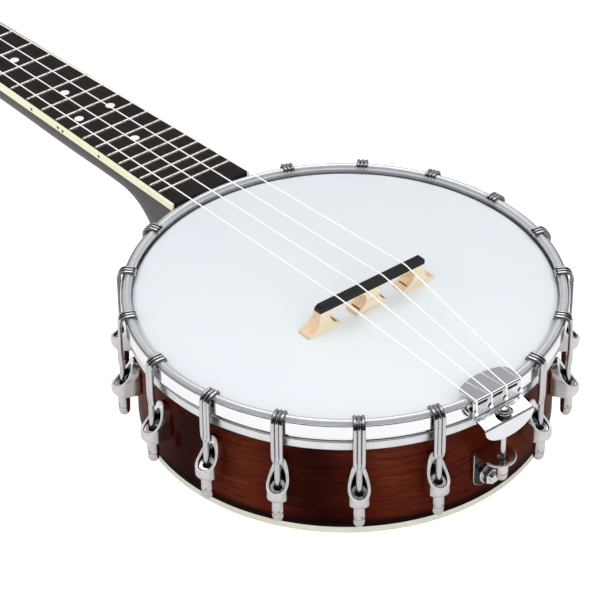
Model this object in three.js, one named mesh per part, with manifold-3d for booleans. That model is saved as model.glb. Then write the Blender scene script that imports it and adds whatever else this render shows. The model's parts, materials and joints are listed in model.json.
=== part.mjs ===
// Banjo ukulele lying on its back: drum pot with sixteen tension hooks, bound neck, four geared tuners.
// Millimetres, +Z up through the drum head, +X along the neck towards the headstock.
// Everything is laid out round the pot's axis first; the whole group is then shifted along X so that the
// origin is at the middle of the outline on the surface it lies on.
import * as THREE from 'three';
import { mergeVertices } from 'three/addons/utils/BufferGeometryUtils.js';
import Module from 'manifold-3d';

// ---------------------------------------------------------------- driving dimensions
const H = 68.3;              // reference height at the hoop's top edge above the pot's back edge
const RIM_R = 101.3;         // outside of the wooden rim (8 inch head)
const RIM_T = 12.7;          // rim wall
const HEAD_DROP = 2.4;       // head surface below H
const BEAD_R = 104.2;        // bead's circle
const BEAD_r = 2;            // bead's own radius
const BEAD_TOP = 1;          // bead's top above H
const APRON_R = 107.3;       // outside of the hoop's apron
const HOOP_OUT = 107.3;      // furthest the hoop reaches
const SCALE = 431.8;         // nut to bridge
const X_BRIDGE = -17.5;      // bridge front edge from the pot's axis
const X_NUT = X_BRIDGE + SCALE;
const NECK_SLOPE = -0.042;   // the neck leans back from the head's plane
const BOARD_T = 3.7;         // fingerboard with its binding
const BIND = 1.4;            // binding strip
const FRETS = 20;
const HALF_20 = 22.7, HALF_NUT = 15.8;   // half width between the bindings at fret 20 and at the nut
const HOOK_DEG = [23.7, 44.5, 64.4, 84.8, 104.7, 124.0, 143.7, 163.3];
const ROD_R = 109.3;         // tension rods' circle
const ROD_r = 1.45;
const STRAP_W = 5.8, STRAP_T = 1.6;
const HEAD_DEG = 14;         // headstock below horizontal
const HEAD_T = 12;           // headstock thickness
const POSTS = [[31, 18.5], [78, 21.5]];  // post positions on the headstock: along, across
const STR_BRIDGE = 13.73, STR_TAIL = 9.1, STR_NUT = 8.6;  // string spacings
const STR_r = 0.45;
const N = 48;                // facets round every ring of the pot
const BEVEL_GAP = 0.3;

const wasm = await Module();
wasm.setup();

// ---------------------------------------------------------------- geometry helpers
const V2 = (x, y) => new THREE.Vector2(x, y);
const V3 = (x, y, z) => new THREE.Vector3(x, y, z);

function clean(geo) {
  let g = geo.index ? geo.toNonIndexed() : geo.clone();
  g.deleteAttribute('normal'); g.deleteAttribute('uv');
  g = mergeVertices(g, 1e-4);
  const p = g.attributes.position, src = g.index.array, keep = [];
  for (let i = 0; i < src.length; i += 3) {
    const [a, b, c] = [src[i], src[i + 1], src[i + 2]];
    if (a !== b && b !== c && a !== c) keep.push(a, b, c);
  }
  let vol = 0;
  const A = V3(), B = V3(), C = V3();
  for (let i = 0; i < keep.length; i += 3) {
    A.fromBufferAttribute(p, keep[i]); B.fromBufferAttribute(p, keep[i + 1]); C.fromBufferAttribute(p, keep[i + 2]);
    vol += A.dot(B.cross(C));
  }
  if (vol < 0) for (let i = 0; i < keep.length; i += 3) [keep[i + 1], keep[i + 2]] = [keep[i + 2], keep[i + 1]];
  g.setIndex(keep);
  return g;
}
function solid(geo) {
  const g = clean(geo);
  return new wasm.Manifold(new wasm.Mesh({
    numProp: 3, vertProperties: new Float32Array(g.attributes.position.array), triVerts: new Uint32Array(g.index.array),
  }));
}
function geometry(man) {
  const m = man.getMesh();
  const g = new THREE.BufferGeometry();
  g.setAttribute('position', new THREE.BufferAttribute(new Float32Array(m.vertProperties), 3));
  g.setIndex(new THREE.BufferAttribute(new Uint32Array(m.triVerts), 1));
  g.computeVertexNormals();
  return g;
}
const at = (geo, x, y, z, rx = 0, ry = 0, rz = 0) => {
  geo.applyMatrix4(new THREE.Matrix4().makeRotationFromEuler(new THREE.Euler(rx, ry, rz, 'ZYX')));
  geo.translate(x, y, z);
  return geo;
};
const lathe = (pts, seg) => new THREE.LatheGeometry(pts.map(([r, z]) => V2(r, z)), seg).rotateX(Math.PI / 2);
const ring = (pts, seg = N) => lathe([...pts, pts[0]], seg);          // closed profile
const box = (x0, x1, y0, y1, z0, z1) => new THREE.BoxGeometry(x1 - x0, y1 - y0, z1 - z0).translate((x0 + x1) / 2, (y0 + y1) / 2, (z0 + z1) / 2);
const cyl = (r, z0, z1, seg = 12, r2 = r) => new THREE.CylinderGeometry(r2, r, z1 - z0, seg).rotateX(Math.PI / 2).translate(0, 0, (z0 + z1) / 2);
const shape = (pts, holes = []) => {
  const s = new THREE.Shape(pts.map(([x, y]) => V2(x, y)));
  for (const h of holes) s.holes.push(new THREE.Path(h.map(([x, y]) => V2(x, y))));
  return s;
};
const prism = (pts, z0, z1, holes = []) => new THREE.ExtrudeGeometry(shape(pts, holes), { depth: z1 - z0, bevelEnabled: false }).translate(0, 0, z0);
// outline in the X-Z plane, extruded across Y
const side = (pts, y0, y1) => prism(pts, 0, y1 - y0).rotateX(Math.PI / 2).translate(0, y1, 0);
// outline in the Y-Z plane, extruded along X
const front = (pts, x0, x1) => prism(pts, 0, x1 - x0).applyMatrix4(new THREE.Matrix4().set(0, 0, 1, 0, 1, 0, 0, 0, 0, 1, 0, 0, 0, 0, 0, 1)).translate(x0, 0, 0);
const arc = (cx, cy, r, a0, a1, n, ry = r) => Array.from({ length: n + 1 }, (_, i) => {
  const a = THREE.MathUtils.degToRad(a0 + (a1 - a0) * i / n);
  return [cx + r * Math.cos(a), cy + ry * Math.sin(a)];
});
function tube(points, r, steps, seg = 5) {
  const path = new THREE.CatmullRomCurve3(points.map(p => V3(...p)), false, 'centripetal');
  const s = shape(arc(0, 0, r, 0, 360 - 360 / seg, seg - 1));
  return new THREE.ExtrudeGeometry(s, { steps, extrudePath: path, bevelEnabled: false });
}
const union = (...s) => s.reduce((a, b) => a.add(b));

// ---------------------------------------------------------------- finishes
const mat = (c, r, m) => new THREE.MeshStandardMaterial({ color: c, roughness: r, metalness: m });
const M = {
  rim: mat(0x4a1a0c, 0.15, 0), binding: mat(0xe6dfb8, 0.35, 0), skin: mat(0xeef3f6, 0.5, 0), hoop: mat(0xb8bcc2, 0.25, 1),
  chrome: mat(0xe4e2e4, 0.12, 1), neck: mat(0x3a2f30, 0.18, 0), board: mat(0x261e1e, 0.5, 0), nut: mat(0xece6cf, 0.4, 0),
  maple: mat(0xe6cda2, 0.45, 0), nylon: mat(0xf4f4f0, 0.3, 0), button: mat(0xefe9d8, 0.3, 0), brass: mat(0xc9a453, 0.3, 1),
};
const root = new THREE.Group();
const group = new THREE.Group();
root.add(group);
function put(name, man, material, parent = group) {
  const mesh = new THREE.Mesh(geometry(man), material);
  mesh.name = name;
  parent.add(mesh);
  return mesh;
}
const rad = THREE.MathUtils.degToRad;

// ---------------------------------------------------------------- pot
const headZ = H - HEAD_DROP;
const BOLT_Z = H - 37;                 // rim bolts of the shoes
const ROD_Z = H - 49.4;                // coordinator rod
const hookDegs = [...HOOK_DEG, ...HOOK_DEG.slice().reverse().map(d => -d)];

let rim = solid(ring([[RIM_R - RIM_T, 0], [RIM_R - 2.4, 0], [RIM_R - 2.4, 4], [RIM_R, 4], [RIM_R, headZ - 3.4], [RIM_R - 2.2, headZ - 1.1], [RIM_R - 6, headZ - 1.1], [RIM_R - RIM_T, headZ - 7]]));
for (const d of hookDegs) rim = rim.subtract(solid(at(cyl(2.3, RIM_R - RIM_T - 3, RIM_R + 3, 6), 0, 0, 0, 0, Math.PI / 2).rotateZ(rad(d)).translate(0, 0, BOLT_Z)));
rim = rim.subtract(solid(at(cyl(3.1, -RIM_R - 3, -RIM_R + RIM_T + 3, 10), 0, 0, ROD_Z, 0, Math.PI / 2)));
rim = rim.subtract(solid(at(cyl(3.6, RIM_R - RIM_T - 3, RIM_R + 3, 10), 0, 0, ROD_Z, 0, Math.PI / 2)));
put('rim', rim, M.rim);
put('rim_binding', solid(ring([[RIM_R - 2.4, 0], [RIM_R, 0], [RIM_R, 4], [RIM_R - 2.4, 4]])), M.binding);

// drum head: stretched skin with its aluminium flesh ring
const skinIn = RIM_R + 0.3, skinOut = RIM_R + 0.8;
put('drum_head', solid(lathe([
  [0, headZ], [RIM_R - 1.7, headZ], ...arc(RIM_R - 1.7, headZ - 2.5, 2.5, 60, 0, 2), [skinOut, H - 11], [RIM_R + 4.2, H - 11], [RIM_R + 4.2, H - 16], [skinIn, H - 16],
  [skinIn, headZ - 2.9], [RIM_R - 2.0, headZ - 0.7], [0, headZ - 0.7],
], N)), M.skin);

// tension hoop: round bead inside a thin apron, with a groove between them, pressing on the flesh ring
const beadZ = H + BEAD_TOP - BEAD_r;
put('tension_hoop', solid(ring([
  [RIM_R + 1.9, H - 10.7], [RIM_R + 3.2, H - 10.7], [RIM_R + 3.2, H - 7.8], [APRON_R, H - 7.8], [APRON_R, H - 0.8],
  [APRON_R - 0.3, H - 0.45], [APRON_R - 0.8, H - 0.45], [APRON_R - 0.9, H - 3], ...arc(BEAD_R, beadZ, BEAD_r, -35, 215, 7), [RIM_R + 1.9, beadZ - 1.9],
])), M.hoop);

// ---------------------------------------------------------------- hooks and shoes, sixteen of each
function hookSolid() {
  const r0 = 108.9, r1 = 110.1, zEnd = H - 23.6, z = v => H + v;
  const prof = [[r0, zEnd], [r1, zEnd], ...arc(105.6, z(-2.6), 4.5, 0, 90, 4), ...arc(102.9, z(0.1), 1.8, 90, 180, 2), [101.1, z(-0.4)],
    [101.95, z(-0.4)], ...arc(102.95, z(0.15), 1, 180, 90, 2), ...arc(105.4, z(-2.35), 3.5, 90, 0, 3)];
  const hw = STRAP_W / 2;
  const outline = [[-hw, H + 9], [-hw, zEnd + 4.5], [-hw * 0.72, zEnd + 1.6], [-0.9, zEnd], [0.9, zEnd], [hw * 0.72, zEnd + 1.6], [hw, zEnd + 4.5], [hw, H + 9]];
  const strap = solid(side(prof, -hw, hw)).intersect(solid(front(outline, 90, 120)));
  const rib = solid(box(r0 + 0.2, r1 + 0.45, -0.6, 0.6, zEnd + 0.5, H - 3.5));
  const rod = solid(cyl(ROD_r, H - 49.4, H - 14, 7).translate(ROD_R, 0, 0));
  const nut = solid(lathe([[0, H - 57], [1.4, H - 56.8], [2.6, H - 54.8], [2.9, H - 52], [2.9, H - 44.2], [0, H - 44.2]], 8).translate(ROD_R, 0, 0));
  return union(strap, rib, rod, nut);
}
function shoeSolid() {
  const cupR = 5.7, cupT = 5.2, c = ROD_R + 0.1, bottom = H - 43.9;
  const back = RIM_R + 0.3;
  const cup = solid(prism(arc(c, 0, cupR, 0, 324, 9, cupT), bottom, H - 22.4));
  const base = solid(box(back, c, -4.6, 4.6, bottom, H - 28.2));
  const cutTop = solid(side([[c - 5.9, H - 24.1], [c - 4.4, H - 24.9], [106.2, H - 30.4], [108.6, H - 34.2], [111.6, H - 36.8], [c + 8, H - 38.5], [c + 8, H - 18], [c - 5.9, H - 18]], -8, 8));
  const toe = solid(side([[c + 2.2, bottom - 1], [c + 4.4, bottom + 0.9], [c + 6.1, bottom + 3.6], [c + 8, bottom + 3.6], [c + 8, bottom - 1]], -8, 8));
  const hollow = solid(prism(arc(c, 0, cupR - 1.1, 0, 324, 9, cupT - 1.1), H - 41.2, H - 20));
  const bore = solid(cyl(ROD_r + 0.35, H - 49, H - 39, 7).translate(ROD_R, 0, 0));
  let s = union(cup, base).subtract(cutTop).subtract(hollow).subtract(bore).subtract(toe);
  const inner = RIM_R - RIM_T - 0.45;
  const bolt = union(
    solid(at(cyl(1.95, inner - 1, back + 1.5, 6), 0, 0, BOLT_Z, 0, Math.PI / 2)),
    solid(at(cyl(4.6, inner - 1, inner, 8), 0, 0, BOLT_Z, 0, Math.PI / 2)),
    solid(at(cyl(3.4, inner - 3.6, inner - 1, 6), 0, 0, BOLT_Z, 0, Math.PI / 2)));
  return union(s, bolt);
}
hookDegs.forEach((d, i) => {
  const n = String(i + 1).padStart(2, '0');
  const h = put(`hook_${n}`, hookSolid(), M.chrome);
  h.rotation.z = rad(d);
  const s = put(`shoe_${n}`, shoeSolid(), M.chrome);
  s.rotation.z = rad(d);
});

// ---------------------------------------------------------------- neck, fingerboard, nut
const boardZ = x => H + 1.5 + NECK_SLOPE * (x - 118.5);      // top of the fingerboard
const halfW = x => HALF_20 + (HALF_NUT - HALF_20) * (x - 118.5) / (X_NUT - 118.5);
const hoopClear = HOOP_OUT + 0.35;
const tilt = Math.atan(-NECK_SLOPE);
const tiltDeg = THREE.MathUtils.radToDeg(tilt);

// lofts a closed body through sections of equal point count
function loft(sections) {
  const n = sections[0].length, pos = [], idx = [];
  for (const s of sections) for (const p of s) pos.push(...p);
  for (let i = 0; i < sections.length - 1; i++) for (let j = 0; j < n; j++) {
    const a = i * n + j, b = i * n + (j + 1) % n, c = a + n, d = b + n;
    idx.push(a, b, d, a, d, c);
  }
  const cap = (o, flip) => { for (let j = 1; j < n - 1; j++) flip ? idx.push(o, o + j + 1, o + j) : idx.push(o, o + j, o + j + 1); };
  cap(0, true); cap((sections.length - 1) * n, false);
  const g = new THREE.BufferGeometry();
  g.setAttribute('position', new THREE.Float32BufferAttribute(pos, 3));
  g.setIndex(idx);
  return g;
}
// neck section: flat top, rounded back of the given depth
function neckSection(x, depth, squareness) {
  const w = halfW(x) + BIND, top = boardZ(x) - BOARD_T, pts = [[x, w, top]];
  const k = 8;
  for (let i = 0; i <= k; i++) {
    const a = Math.PI * i / k, e = 2 / (2 + squareness);
    const c = Math.cos(a), s = Math.sin(a);
    pts.push([x, w * Math.sign(c) * Math.abs(c) ** e, top - 2 - (depth - 2) * s ** e]);
  }
  pts.push([x, -w, top]);
  return pts;
}
const stations = [[100.9, 56.5, 0.5], [112, 55.5, 0.4], [118, 53.5, 0.3], [124, 47.5, 0.2], [128, 40.5, 0.2], [132, 32.5, 0.2], [136, 26.2, 0.2], [140, 21.6, 0.2], [146, 17.6, 0.2], [154, 15.4, 0.2], [172, 15, 0.2], [192, 15.6, 0.2], [216, 15.4, 0.2], [260, 14.4, 0.2], [X_NUT - 30, 13.8, 0.3], [X_NUT - 8, 14.6, 0.3], [X_NUT + 5, 15.5, 0.5]];
let neck = solid(loft(stations.map(([x, d, q]) => neckSection(x, d, q))));
// heel follows the rim, and is cut back over the flesh ring and the hoop
neck = neck.subtract(solid(cyl(RIM_R + 0.35, -5, H + 10, N)));
neck = neck.subtract(solid(cyl(hoopClear, H - 16.5, H + 10, N)));
neck = neck.subtract(solid(at(cyl(3.6, RIM_R - 6, RIM_R + 12, 10), 0, 0, ROD_Z, 0, Math.PI / 2)));

// headstock in its own frame: u along, v across, w up from its face; placed at the end of the nut
const HX = X_NUT + 5, HZ = boardZ(X_NUT + 5) - BOARD_T;
const headFrame = new THREE.Matrix4().makeRotationY(rad(HEAD_DEG)).setPosition(HX, 0, HZ);
const outlineHalf = [[-4, 17.2], [4, 18.2], [12, 22], [20, 27.2], [28, 30.2], [44, 31.4], [62, 32.6], [80, 34.2], [92, 35.6], [98, 35.2], [103, 32.4], [108, 27.5], [114, 22], [120, 14.5], [124, 6.5]];
const outline = [...outlineHalf, [125, 0], ...outlineHalf.slice().reverse().map(([u, v]) => [u, -v])];
let head = solid(prism(outline, -HEAD_T, 0).applyMatrix4(headFrame));
head = head.subtract(solid(loft([X_NUT - 12, HX].map(x => {
  const z = boardZ(x) - BOARD_T;
  return [[x, 40, z + 9], [x, 40, z], [x, -40, z], [x, -40, z + 9]];
}))));
neck = neck.add(head);
for (const [u, v] of POSTS) for (const s of [1, -1]) neck = neck.subtract(solid(cyl(4.9, -HEAD_T - 4, 4, 10).translate(u, s * v, 0).applyMatrix4(headFrame)));
put('neck', neck, M.neck);

const cornerX = Math.sqrt(hoopClear ** 2 - (HALF_20 + BIND) ** 2);
let board = solid(loft([95, X_NUT - 0.15].map(x => {
  const w = halfW(x) + BIND, z = boardZ(x), zb = z - BOARD_T + 0.03;
  return [[x, w, z], [x, w, zb], [x, -w, zb], [x, -w, z]];
}))).subtract(solid(cyl(hoopClear, H - 20, H + 12, N)));
for (let n = 1; n <= FRETS; n++) {
  const x = X_BRIDGE + SCALE * 2 ** (-n / 12), w = halfW(x), z = boardZ(x);
  board = board.add(solid(box(x - 0.8, x + 0.8, -w, w, z - 0.6, z + 0.9)));
}
put('fretboard', board, M.board);

// nut, standing on the neck's end behind the board, slotted for the strings
const nutW = HALF_NUT + BIND - 0.1, nutZ = boardZ(X_NUT);
let nut = solid(side([[X_NUT, nutZ - BOARD_T + 0.05], [X_NUT + 4.6, nutZ - BOARD_T - 0.1], [X_NUT + 4.6, nutZ + 1.2], [X_NUT + 3, nutZ + 2.4], [X_NUT, nutZ + 2.7]], -nutW, nutW));
// (slots cut below, once the strings' line is known)

// ---------------------------------------------------------------- bridge
const bridgeTop = H + 13.4, bf = X_BRIDGE + 0.3, bb = bf - 3.4;
const bh = bridgeTop - headZ;
function bridgeOutline() {
  const z0 = headZ + 0.05, half = [];
  // right half of the outline, from the middle of the underside outwards, then up
  const keyhole = [[9.4, 0], [9.6, 1.6], [6.4, 3.4], [4.2, 6.6], [4.8, 9.6], [7.6, 11.3], [22.4, 11.3], [25.2, 9.6], [25.8, 6.6], [23.4, 3.4], [19.2, 1.6], [19.4, 0]];
  const right = [...keyhole, [37.8, 0], [38.2, 1.4], [35.2, 3.4], [33, 6.8], [32, 11], [32, bh - 2], [30.6, bh]];
  const pts = [...right, ...right.slice().reverse().map(([y, z]) => [-y, z])];
  return pts.map(([y, z]) => [y, z + z0]);
}
// its face towards the tail is upright, the other one slopes, so it is thin on top and thick at the feet
const bridgeBody = solid(front(bridgeOutline(), bb - 2, bf + 8));
const bridgeTaper = solid(side([[bf + 4.9, headZ - 1], [bf + 4.9, headZ + 2], [bf, bridgeTop], [bf - 0.6, bridgeTop + 1], [bb + 0.6, bridgeTop + 1], [bb, bridgeTop], [bb + 0.1, headZ - 1]], -45, 45));
put('bridge', bridgeBody.intersect(bridgeTaper), M.maple);

// ---------------------------------------------------------------- tailpiece and its bracket
const tpX = -107.55;                           // inner face of the wall behind the hoop
const TP_T = 0.95, tpTop = H + 2.15, shelfZ = H - 7.3, flapX = -117.4, flapZ = H - 9.6;
const boltX = -113.1;
const topPlate = prism([[tpX - TP_T, -14.3], [-101, -14.9], [-98.6, -14.4], [-96.3, -12.4], [-94.8, -8.6], [-94, -4.6], [-93.8, -0.4], [-94, 4.4], [-95, 8.8], [-96.8, 13.3], [-98.4, 14.4], [tpX - TP_T, 14.3]], tpTop - TP_T, tpTop);
const bent = solid(side([[tpX, tpTop - 0.2], [tpX - TP_T, tpTop - 0.2], [tpX - TP_T, shelfZ], [flapX, flapZ], [flapX, flapZ - 1], [tpX, shelfZ - 1]], -14.3, 14.3));
const flap = front([[-14.3, flapZ], ...arc(0, flapZ - 0.4, 14.6, 180, 360, 10, 9.2), [14.3, flapZ]], flapX, flapX + TP_T);
let tail = union(solid(topPlate), bent, solid(flap));
const roll = solid(at(cyl(0.95, -14.6, 14.6, 8), tpX - TP_T + 0.2, 0, tpTop - 0.7, Math.PI / 2));
tail = tail.add(roll);
for (const [a, b] of [[-12.3, -5.9], [-3.3, 3.3], [5.9, 12.3]]) tail = tail.subtract(solid(box(tpX - 3, tpX + 1, a, b, H - 1.6, H + 0.35)));
for (const y of [1, -1]) for (const q of [0.5, 1.5]) tail = tail.subtract(solid(at(cyl(0.9, -4, 3, 8), tpX, y * q * STR_TAIL, H - 4.4, 0, Math.PI / 2)));
tail = tail.subtract(solid(cyl(ROD_r + 0.4, shelfZ - 6, shelfZ + 2, 8).translate(boltX, 0, 0)));
put('tailpiece', tail, M.chrome);

// bracket: plate on the rim, tongue standing out from it
const brX = -(RIM_R + 0.35), BR_T = 1.5, tongueZ = H - 34.4;
const plateOutline = [[-8.2, tongueZ], [-8.2, H - 51], ...arc(0, H - 51, 8.2, 180, 360, 6, 5).slice(1), [8.2, tongueZ]];
let bracket = solid(front(plateOutline, brX - BR_T, brX));
bracket = bracket.add(solid(prism([[brX, -8.2], [brX, 8.2], ...arc(boltX + 2.2, 0, 8.2, 90, 270, 8, 8.2)], tongueZ - BR_T, tongueZ)));
bracket = bracket.subtract(solid(cyl(ROD_r + 0.4, tongueZ - 4, tongueZ + 3, 8).translate(boltX, 0, 0)));
bracket = bracket.subtract(solid(at(cyl(3.1, brX - 4, brX + 2, 10), 0, 0, ROD_Z, 0, Math.PI / 2)));
put('tail_bracket', bracket, M.chrome);

// bolt that draws the tailpiece down, with its round nut under the tongue
put('tail_bolt', union(
  solid(lathe([[0, shelfZ + 0.1], [3.2, shelfZ + 0.1], [3.2, shelfZ + 1.1], [2.2, shelfZ + 2.2], [0, shelfZ + 2.6]], 10).translate(boltX, 0, 0)),
  solid(cyl(ROD_r, tongueZ - 6, shelfZ + 1, 8).translate(boltX, 0, 0)),
  solid(lathe([[0, tongueZ - 12.9], [1.4, tongueZ - 12.7], [2.6, tongueZ - 11.2], [2.9, tongueZ - 8.8], [2.9, tongueZ - BR_T - 0.3], [0, tongueZ - BR_T - 0.3]], 8).translate(boltX, 0, 0))), M.chrome);

// coordinator rod across the pot, with its outside washer and hex nut and the stud that enters the heel
const inX = RIM_R - RIM_T - 0.5, outX = RIM_R + 0.35 + BR_T + 0.3;
const alongX = (r, x0, x1, seg) => at(cyl(r, x0, x1, seg), 0, 0, ROD_Z, 0, Math.PI / 2);
put('coordinator_rod', union(
  solid(alongX(4, -inX, inX, 12)), solid(alongX(6.5, -inX, -inX + 1.4, 10)), solid(alongX(6.5, inX - 1.4, inX, 10)),
  solid(alongX(2.6, -outX - 6, -inX + 1, 10)), solid(alongX(5.2, -outX - 1, -outX, 12)), solid(alongX(4.4, -outX - 4.6, -outX - 1, 6)),
  solid(alongX(3.1, inX - 1, RIM_R + 10.5, 10))), M.chrome);

// ---------------------------------------------------------------- tuners
// local frame of a tuner: x along the headstock, y outwards to the button, z up; origin on the post's axis at the face
const PLATE_T = 1.2, plateTop = -HEAD_T - 0.3, plateBot = plateTop - PLATE_T;
const GEAR_R = 4.9, WORM_R = 2.4, WORM_OFF = GEAR_R + WORM_R + 0.3, WORM_Z = plateBot - 3.6;
const POST_r = 3;
function plateSolid(m) {
  let s = union(
    solid(prism([[-6.5, -6], [WORM_OFF + 4.5, -6], [WORM_OFF + 6.5, -4], [WORM_OFF + 6.5, 7], [WORM_OFF + 4.5, 9], [-6.5, 9], [-8.5, 7], [-8.5, -4]].map(([x, y]) => [m * x, y]), plateBot, plateTop)),
    solid(cyl(4.5, plateTop - 0.5, 0.5, 10)), solid(cyl(6.2, 0.3, 1.5, 12)));
  for (const [a, b] of [[-5.6, -4.2], [4.6, 6.0]]) s = s.add(solid(box(m * WORM_OFF - 2.9, m * WORM_OFF + 2.9, a, b, WORM_Z - 2.4, plateBot + 0.2)));
  s = s.subtract(solid(cyl(POST_r + 0.3, -HEAD_T - 6, 4, 10)));
  return s.subtract(solid(at(cyl(1.75, -8, 9, 8), m * WORM_OFF, 0, WORM_Z, Math.PI / 2)));
}
function postSolid() {
  const s = union(
    solid(lathe([[0, -HEAD_T - 2], [POST_r, -HEAD_T - 2], [POST_r, 5.2], [2.3, 6.6], [2.3, 9.6], [POST_r, 11], [POST_r, 12.4], [2.4, 13.2], [0, 13.2]], 10)),
    solid(cyl(GEAR_R, WORM_Z - 1.6, plateBot - 0.3, 14)),
    solid(cyl(2.6, WORM_Z - 2.9, WORM_Z - 1.5, 8)), solid(cyl(2.2, -HEAD_T - 3, plateBot, 8)));
  return s.subtract(solid(at(cyl(0.7, -5, 5, 6), 0, 0, 8.1, Math.PI / 2)));
}
function buttonSolid(edge, m) {
  const y0 = edge + 1.2;          // button starts clear of the headstock's edge
  const axis = g => at(g, m * WORM_OFF, 0, WORM_Z, -Math.PI / 2);
  return union(
    solid(axis(cyl(WORM_R, -3.8, 4.2, 10))), solid(axis(cyl(1.45, -7.2, y0 + 3, 8))), solid(axis(cyl(2.3, -8.4, -6.9, 8))),
    solid(axis(lathe([[0, y0], [2.6, y0], [3.2, y0 + 2.2], [2.4, y0 + 3.6], [0, y0 + 3.6]], 10))),
    solid(axis(prism([[-2.6, -3], [-6.6, -1.6], [-7.3, 1.6], [-5.9, 4.6], [0, 6.2], [5.9, 4.6], [7.3, 1.6], [6.6, -1.6], [2.6, -3], [0, -3.4]], -2.6, 2.6).rotateX(Math.PI / 2).rotateY(0).translate(0, 0, y0 + 6.4))));
}
const headEdge = u => {
  for (let i = 0; i < outlineHalf.length - 1; i++) {
    const [a, b] = [outlineHalf[i], outlineHalf[i + 1]];
    if (u >= a[0] && u <= b[0]) return a[1] + (b[1] - a[1]) * (u - a[0]) / (b[0] - a[0]);
  }
  return 30;
};
const headGroup = new THREE.Group();
headGroup.applyMatrix4(headFrame);
group.add(headGroup);
// tuner 1 holds string 1 (the +Y side nearest the nut), then 2 and 3 at the far posts, 4 nearest on the -Y side
const tuners = [[POSTS[0], 1], [POSTS[1], 1], [POSTS[1], -1], [POSTS[0], -1]];
tuners.forEach(([[u, v], s], i) => {
  const g = new THREE.Group();
  g.position.set(u, s * v, 0);
  if (s < 0) g.rotation.z = Math.PI;
  headGroup.add(g);
  const edge = Math.max(headEdge(u - WORM_OFF), headEdge(u - WORM_OFF - 7.4), headEdge(u - WORM_OFF + 7.4)) - v;
  const m = -s;                    // worms on the nut side of every post
  put(`tuner_${i + 1}_plate`, plateSolid(m), M.chrome, g);
  put(`tuner_${i + 1}_post`, postSolid(), M.chrome, g);
  put(`tuner_${i + 1}_button`, buttonSolid(edge, m), M.button, g);
});

// ---------------------------------------------------------------- strings
// y of string k (1..4 from the +Y side) for a given spacing
const rank = [1.5, 0.5, -0.5, -1.5];
const headPoint = (u, v, w) => { const p = V3(u, v, w).applyMatrix4(headFrame); return [p.x, p.y, p.z]; };
const overNut = nutZ + 1.25;         // string's centre over the nut
rank.forEach((q, i) => {
  const yT = q * STR_TAIL, yB = q * STR_BRIDGE, yN = q * STR_NUT;
  const zB = bridgeTop + STR_r + 0.12;
  const rollX = tpX - TP_T + 0.2, rollZ = tpTop - 0.7;     // middle of the rolled edge
  const lerp = (x, x0, y0, x1, y1) => y0 + (y1 - y0) * (x - x0) / (x1 - x0);
  const yAt = x => x < bb ? lerp(x, tpX, yT, bb, yB) : lerp(x, bf, yB, X_NUT + 2, yN);
  const [[u, v], s] = tuners[i];
  const R = POST_r - 0.7 + STR_r + 0.2;      // coil on the post's waist
  const pts = [
    [rollX - 1.6, yT, H - 4.4], ...arc(rollX, rollZ, 1.6, 180, 80, 3).map(([x, z]) => [x, yT, z]),
    [-90, yAt(-90), tpTop + 2.4], [bb - 1.5, yAt(bb - 1.5), zB - 0.1], [(bf + bb) / 2, yB, zB], [bf + 1.5, yAt(bf + 1.5), zB - 0.05],
    [120, yAt(120), lerp(120, bf, zB, X_NUT, overNut)], [X_NUT - 14, yAt(X_NUT - 14), lerp(X_NUT - 14, bf, zB, X_NUT, overNut)], [X_NUT + 0.5, yN, overNut], [X_NUT + 4.2, yN * 1.02, overNut - 0.75],
  ];
  // straight runs are kept straight by making the tube from three joined pieces
  const seg = (a, b) => new THREE.LineCurve3(V3(...a), V3(...b));
  const turn = s > 0 ? -1 : 1;               // strings wrap on the posts' inner sides
  // tangent from the nut to the post's coil
  const nutLocal = V3(...pts[pts.length - 1]).applyMatrix4(headFrame.clone().invert());
  const px = u - nutLocal.x, py = s * v - nutLocal.y, dist = Math.hypot(px, py);
  const base = Math.atan2(py, px), off = Math.asin(R / dist) * (s > 0 ? -1 : 1);
  const dir = base + off, len = Math.sqrt(dist * dist - R * R);
  const touch = [nutLocal.x + len * Math.cos(dir), nutLocal.y + len * Math.sin(dir)];
  const a0 = Math.atan2(touch[1] - s * v, touch[0] - u);
  const coil = [];
  const turns = 1.75, steps = 14, spin = s > 0 ? 1 : -1;
  for (let k = 0; k <= steps; k++) {
    const a = a0 + spin * turns * 2 * Math.PI * k / steps;
    coil.push(headPoint(u + R * Math.cos(a), s * v + R * Math.sin(a), 9.2 - 2.1 * k / steps));
  }
  const path = new THREE.CurvePath();
  const chain = [...pts, ...coil];
  const line = [];
  for (let k = 0; k < chain.length - 1; k++) path.add(seg(chain[k], chain[k + 1]));
  // sweep a five-sided section through the chain with mitred joints
  const P = chain.map(p => V3(...p)), secs = [];
  let nrm = V3(0, 1, 0);
  for (let k = 0; k < P.length; k++) {
    const tin = k ? P[k].clone().sub(P[k - 1]).normalize() : P[1].clone().sub(P[0]).normalize();
    const tout = k < P.length - 1 ? P[k + 1].clone().sub(P[k]).normalize() : tin;
    const t = tin.clone().add(tout).normalize();
    nrm = nrm.clone().sub(t.clone().multiplyScalar(nrm.dot(t))).normalize();
    const bin = t.clone().cross(nrm).normalize();
    secs.push(arc(0, 0, STR_r, 0, 288, 4).map(([a, b]) => { const w = P[k].clone().addScaledVector(nrm, a).addScaledVector(bin, b); return [w.x, w.y, w.z]; }));
  }
  const knot = solid(new THREE.SphereGeometry(1.15, 6, 4).translate(...[pts[0][0] - 0.6, yT, H - 4.7]));
  put(`string_${i + 1}`, solid(loft(secs)).add(knot), M.nylon);
  nut = nut.subtract(solid(loft([[X_NUT - 2, 0], [X_NUT + 8, 1]].map(([x, f]) => {
    const y = yAt(x), z = overNut - (x - X_NUT) * 0.12 - STR_r - 0.35, e = 0.75;
    return [[x, y + e, z + 4], [x, y + e, z], [x, y - e, z], [x, y - e, z + 4]];
  }))));
});
put('nut', nut, M.nut);

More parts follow.
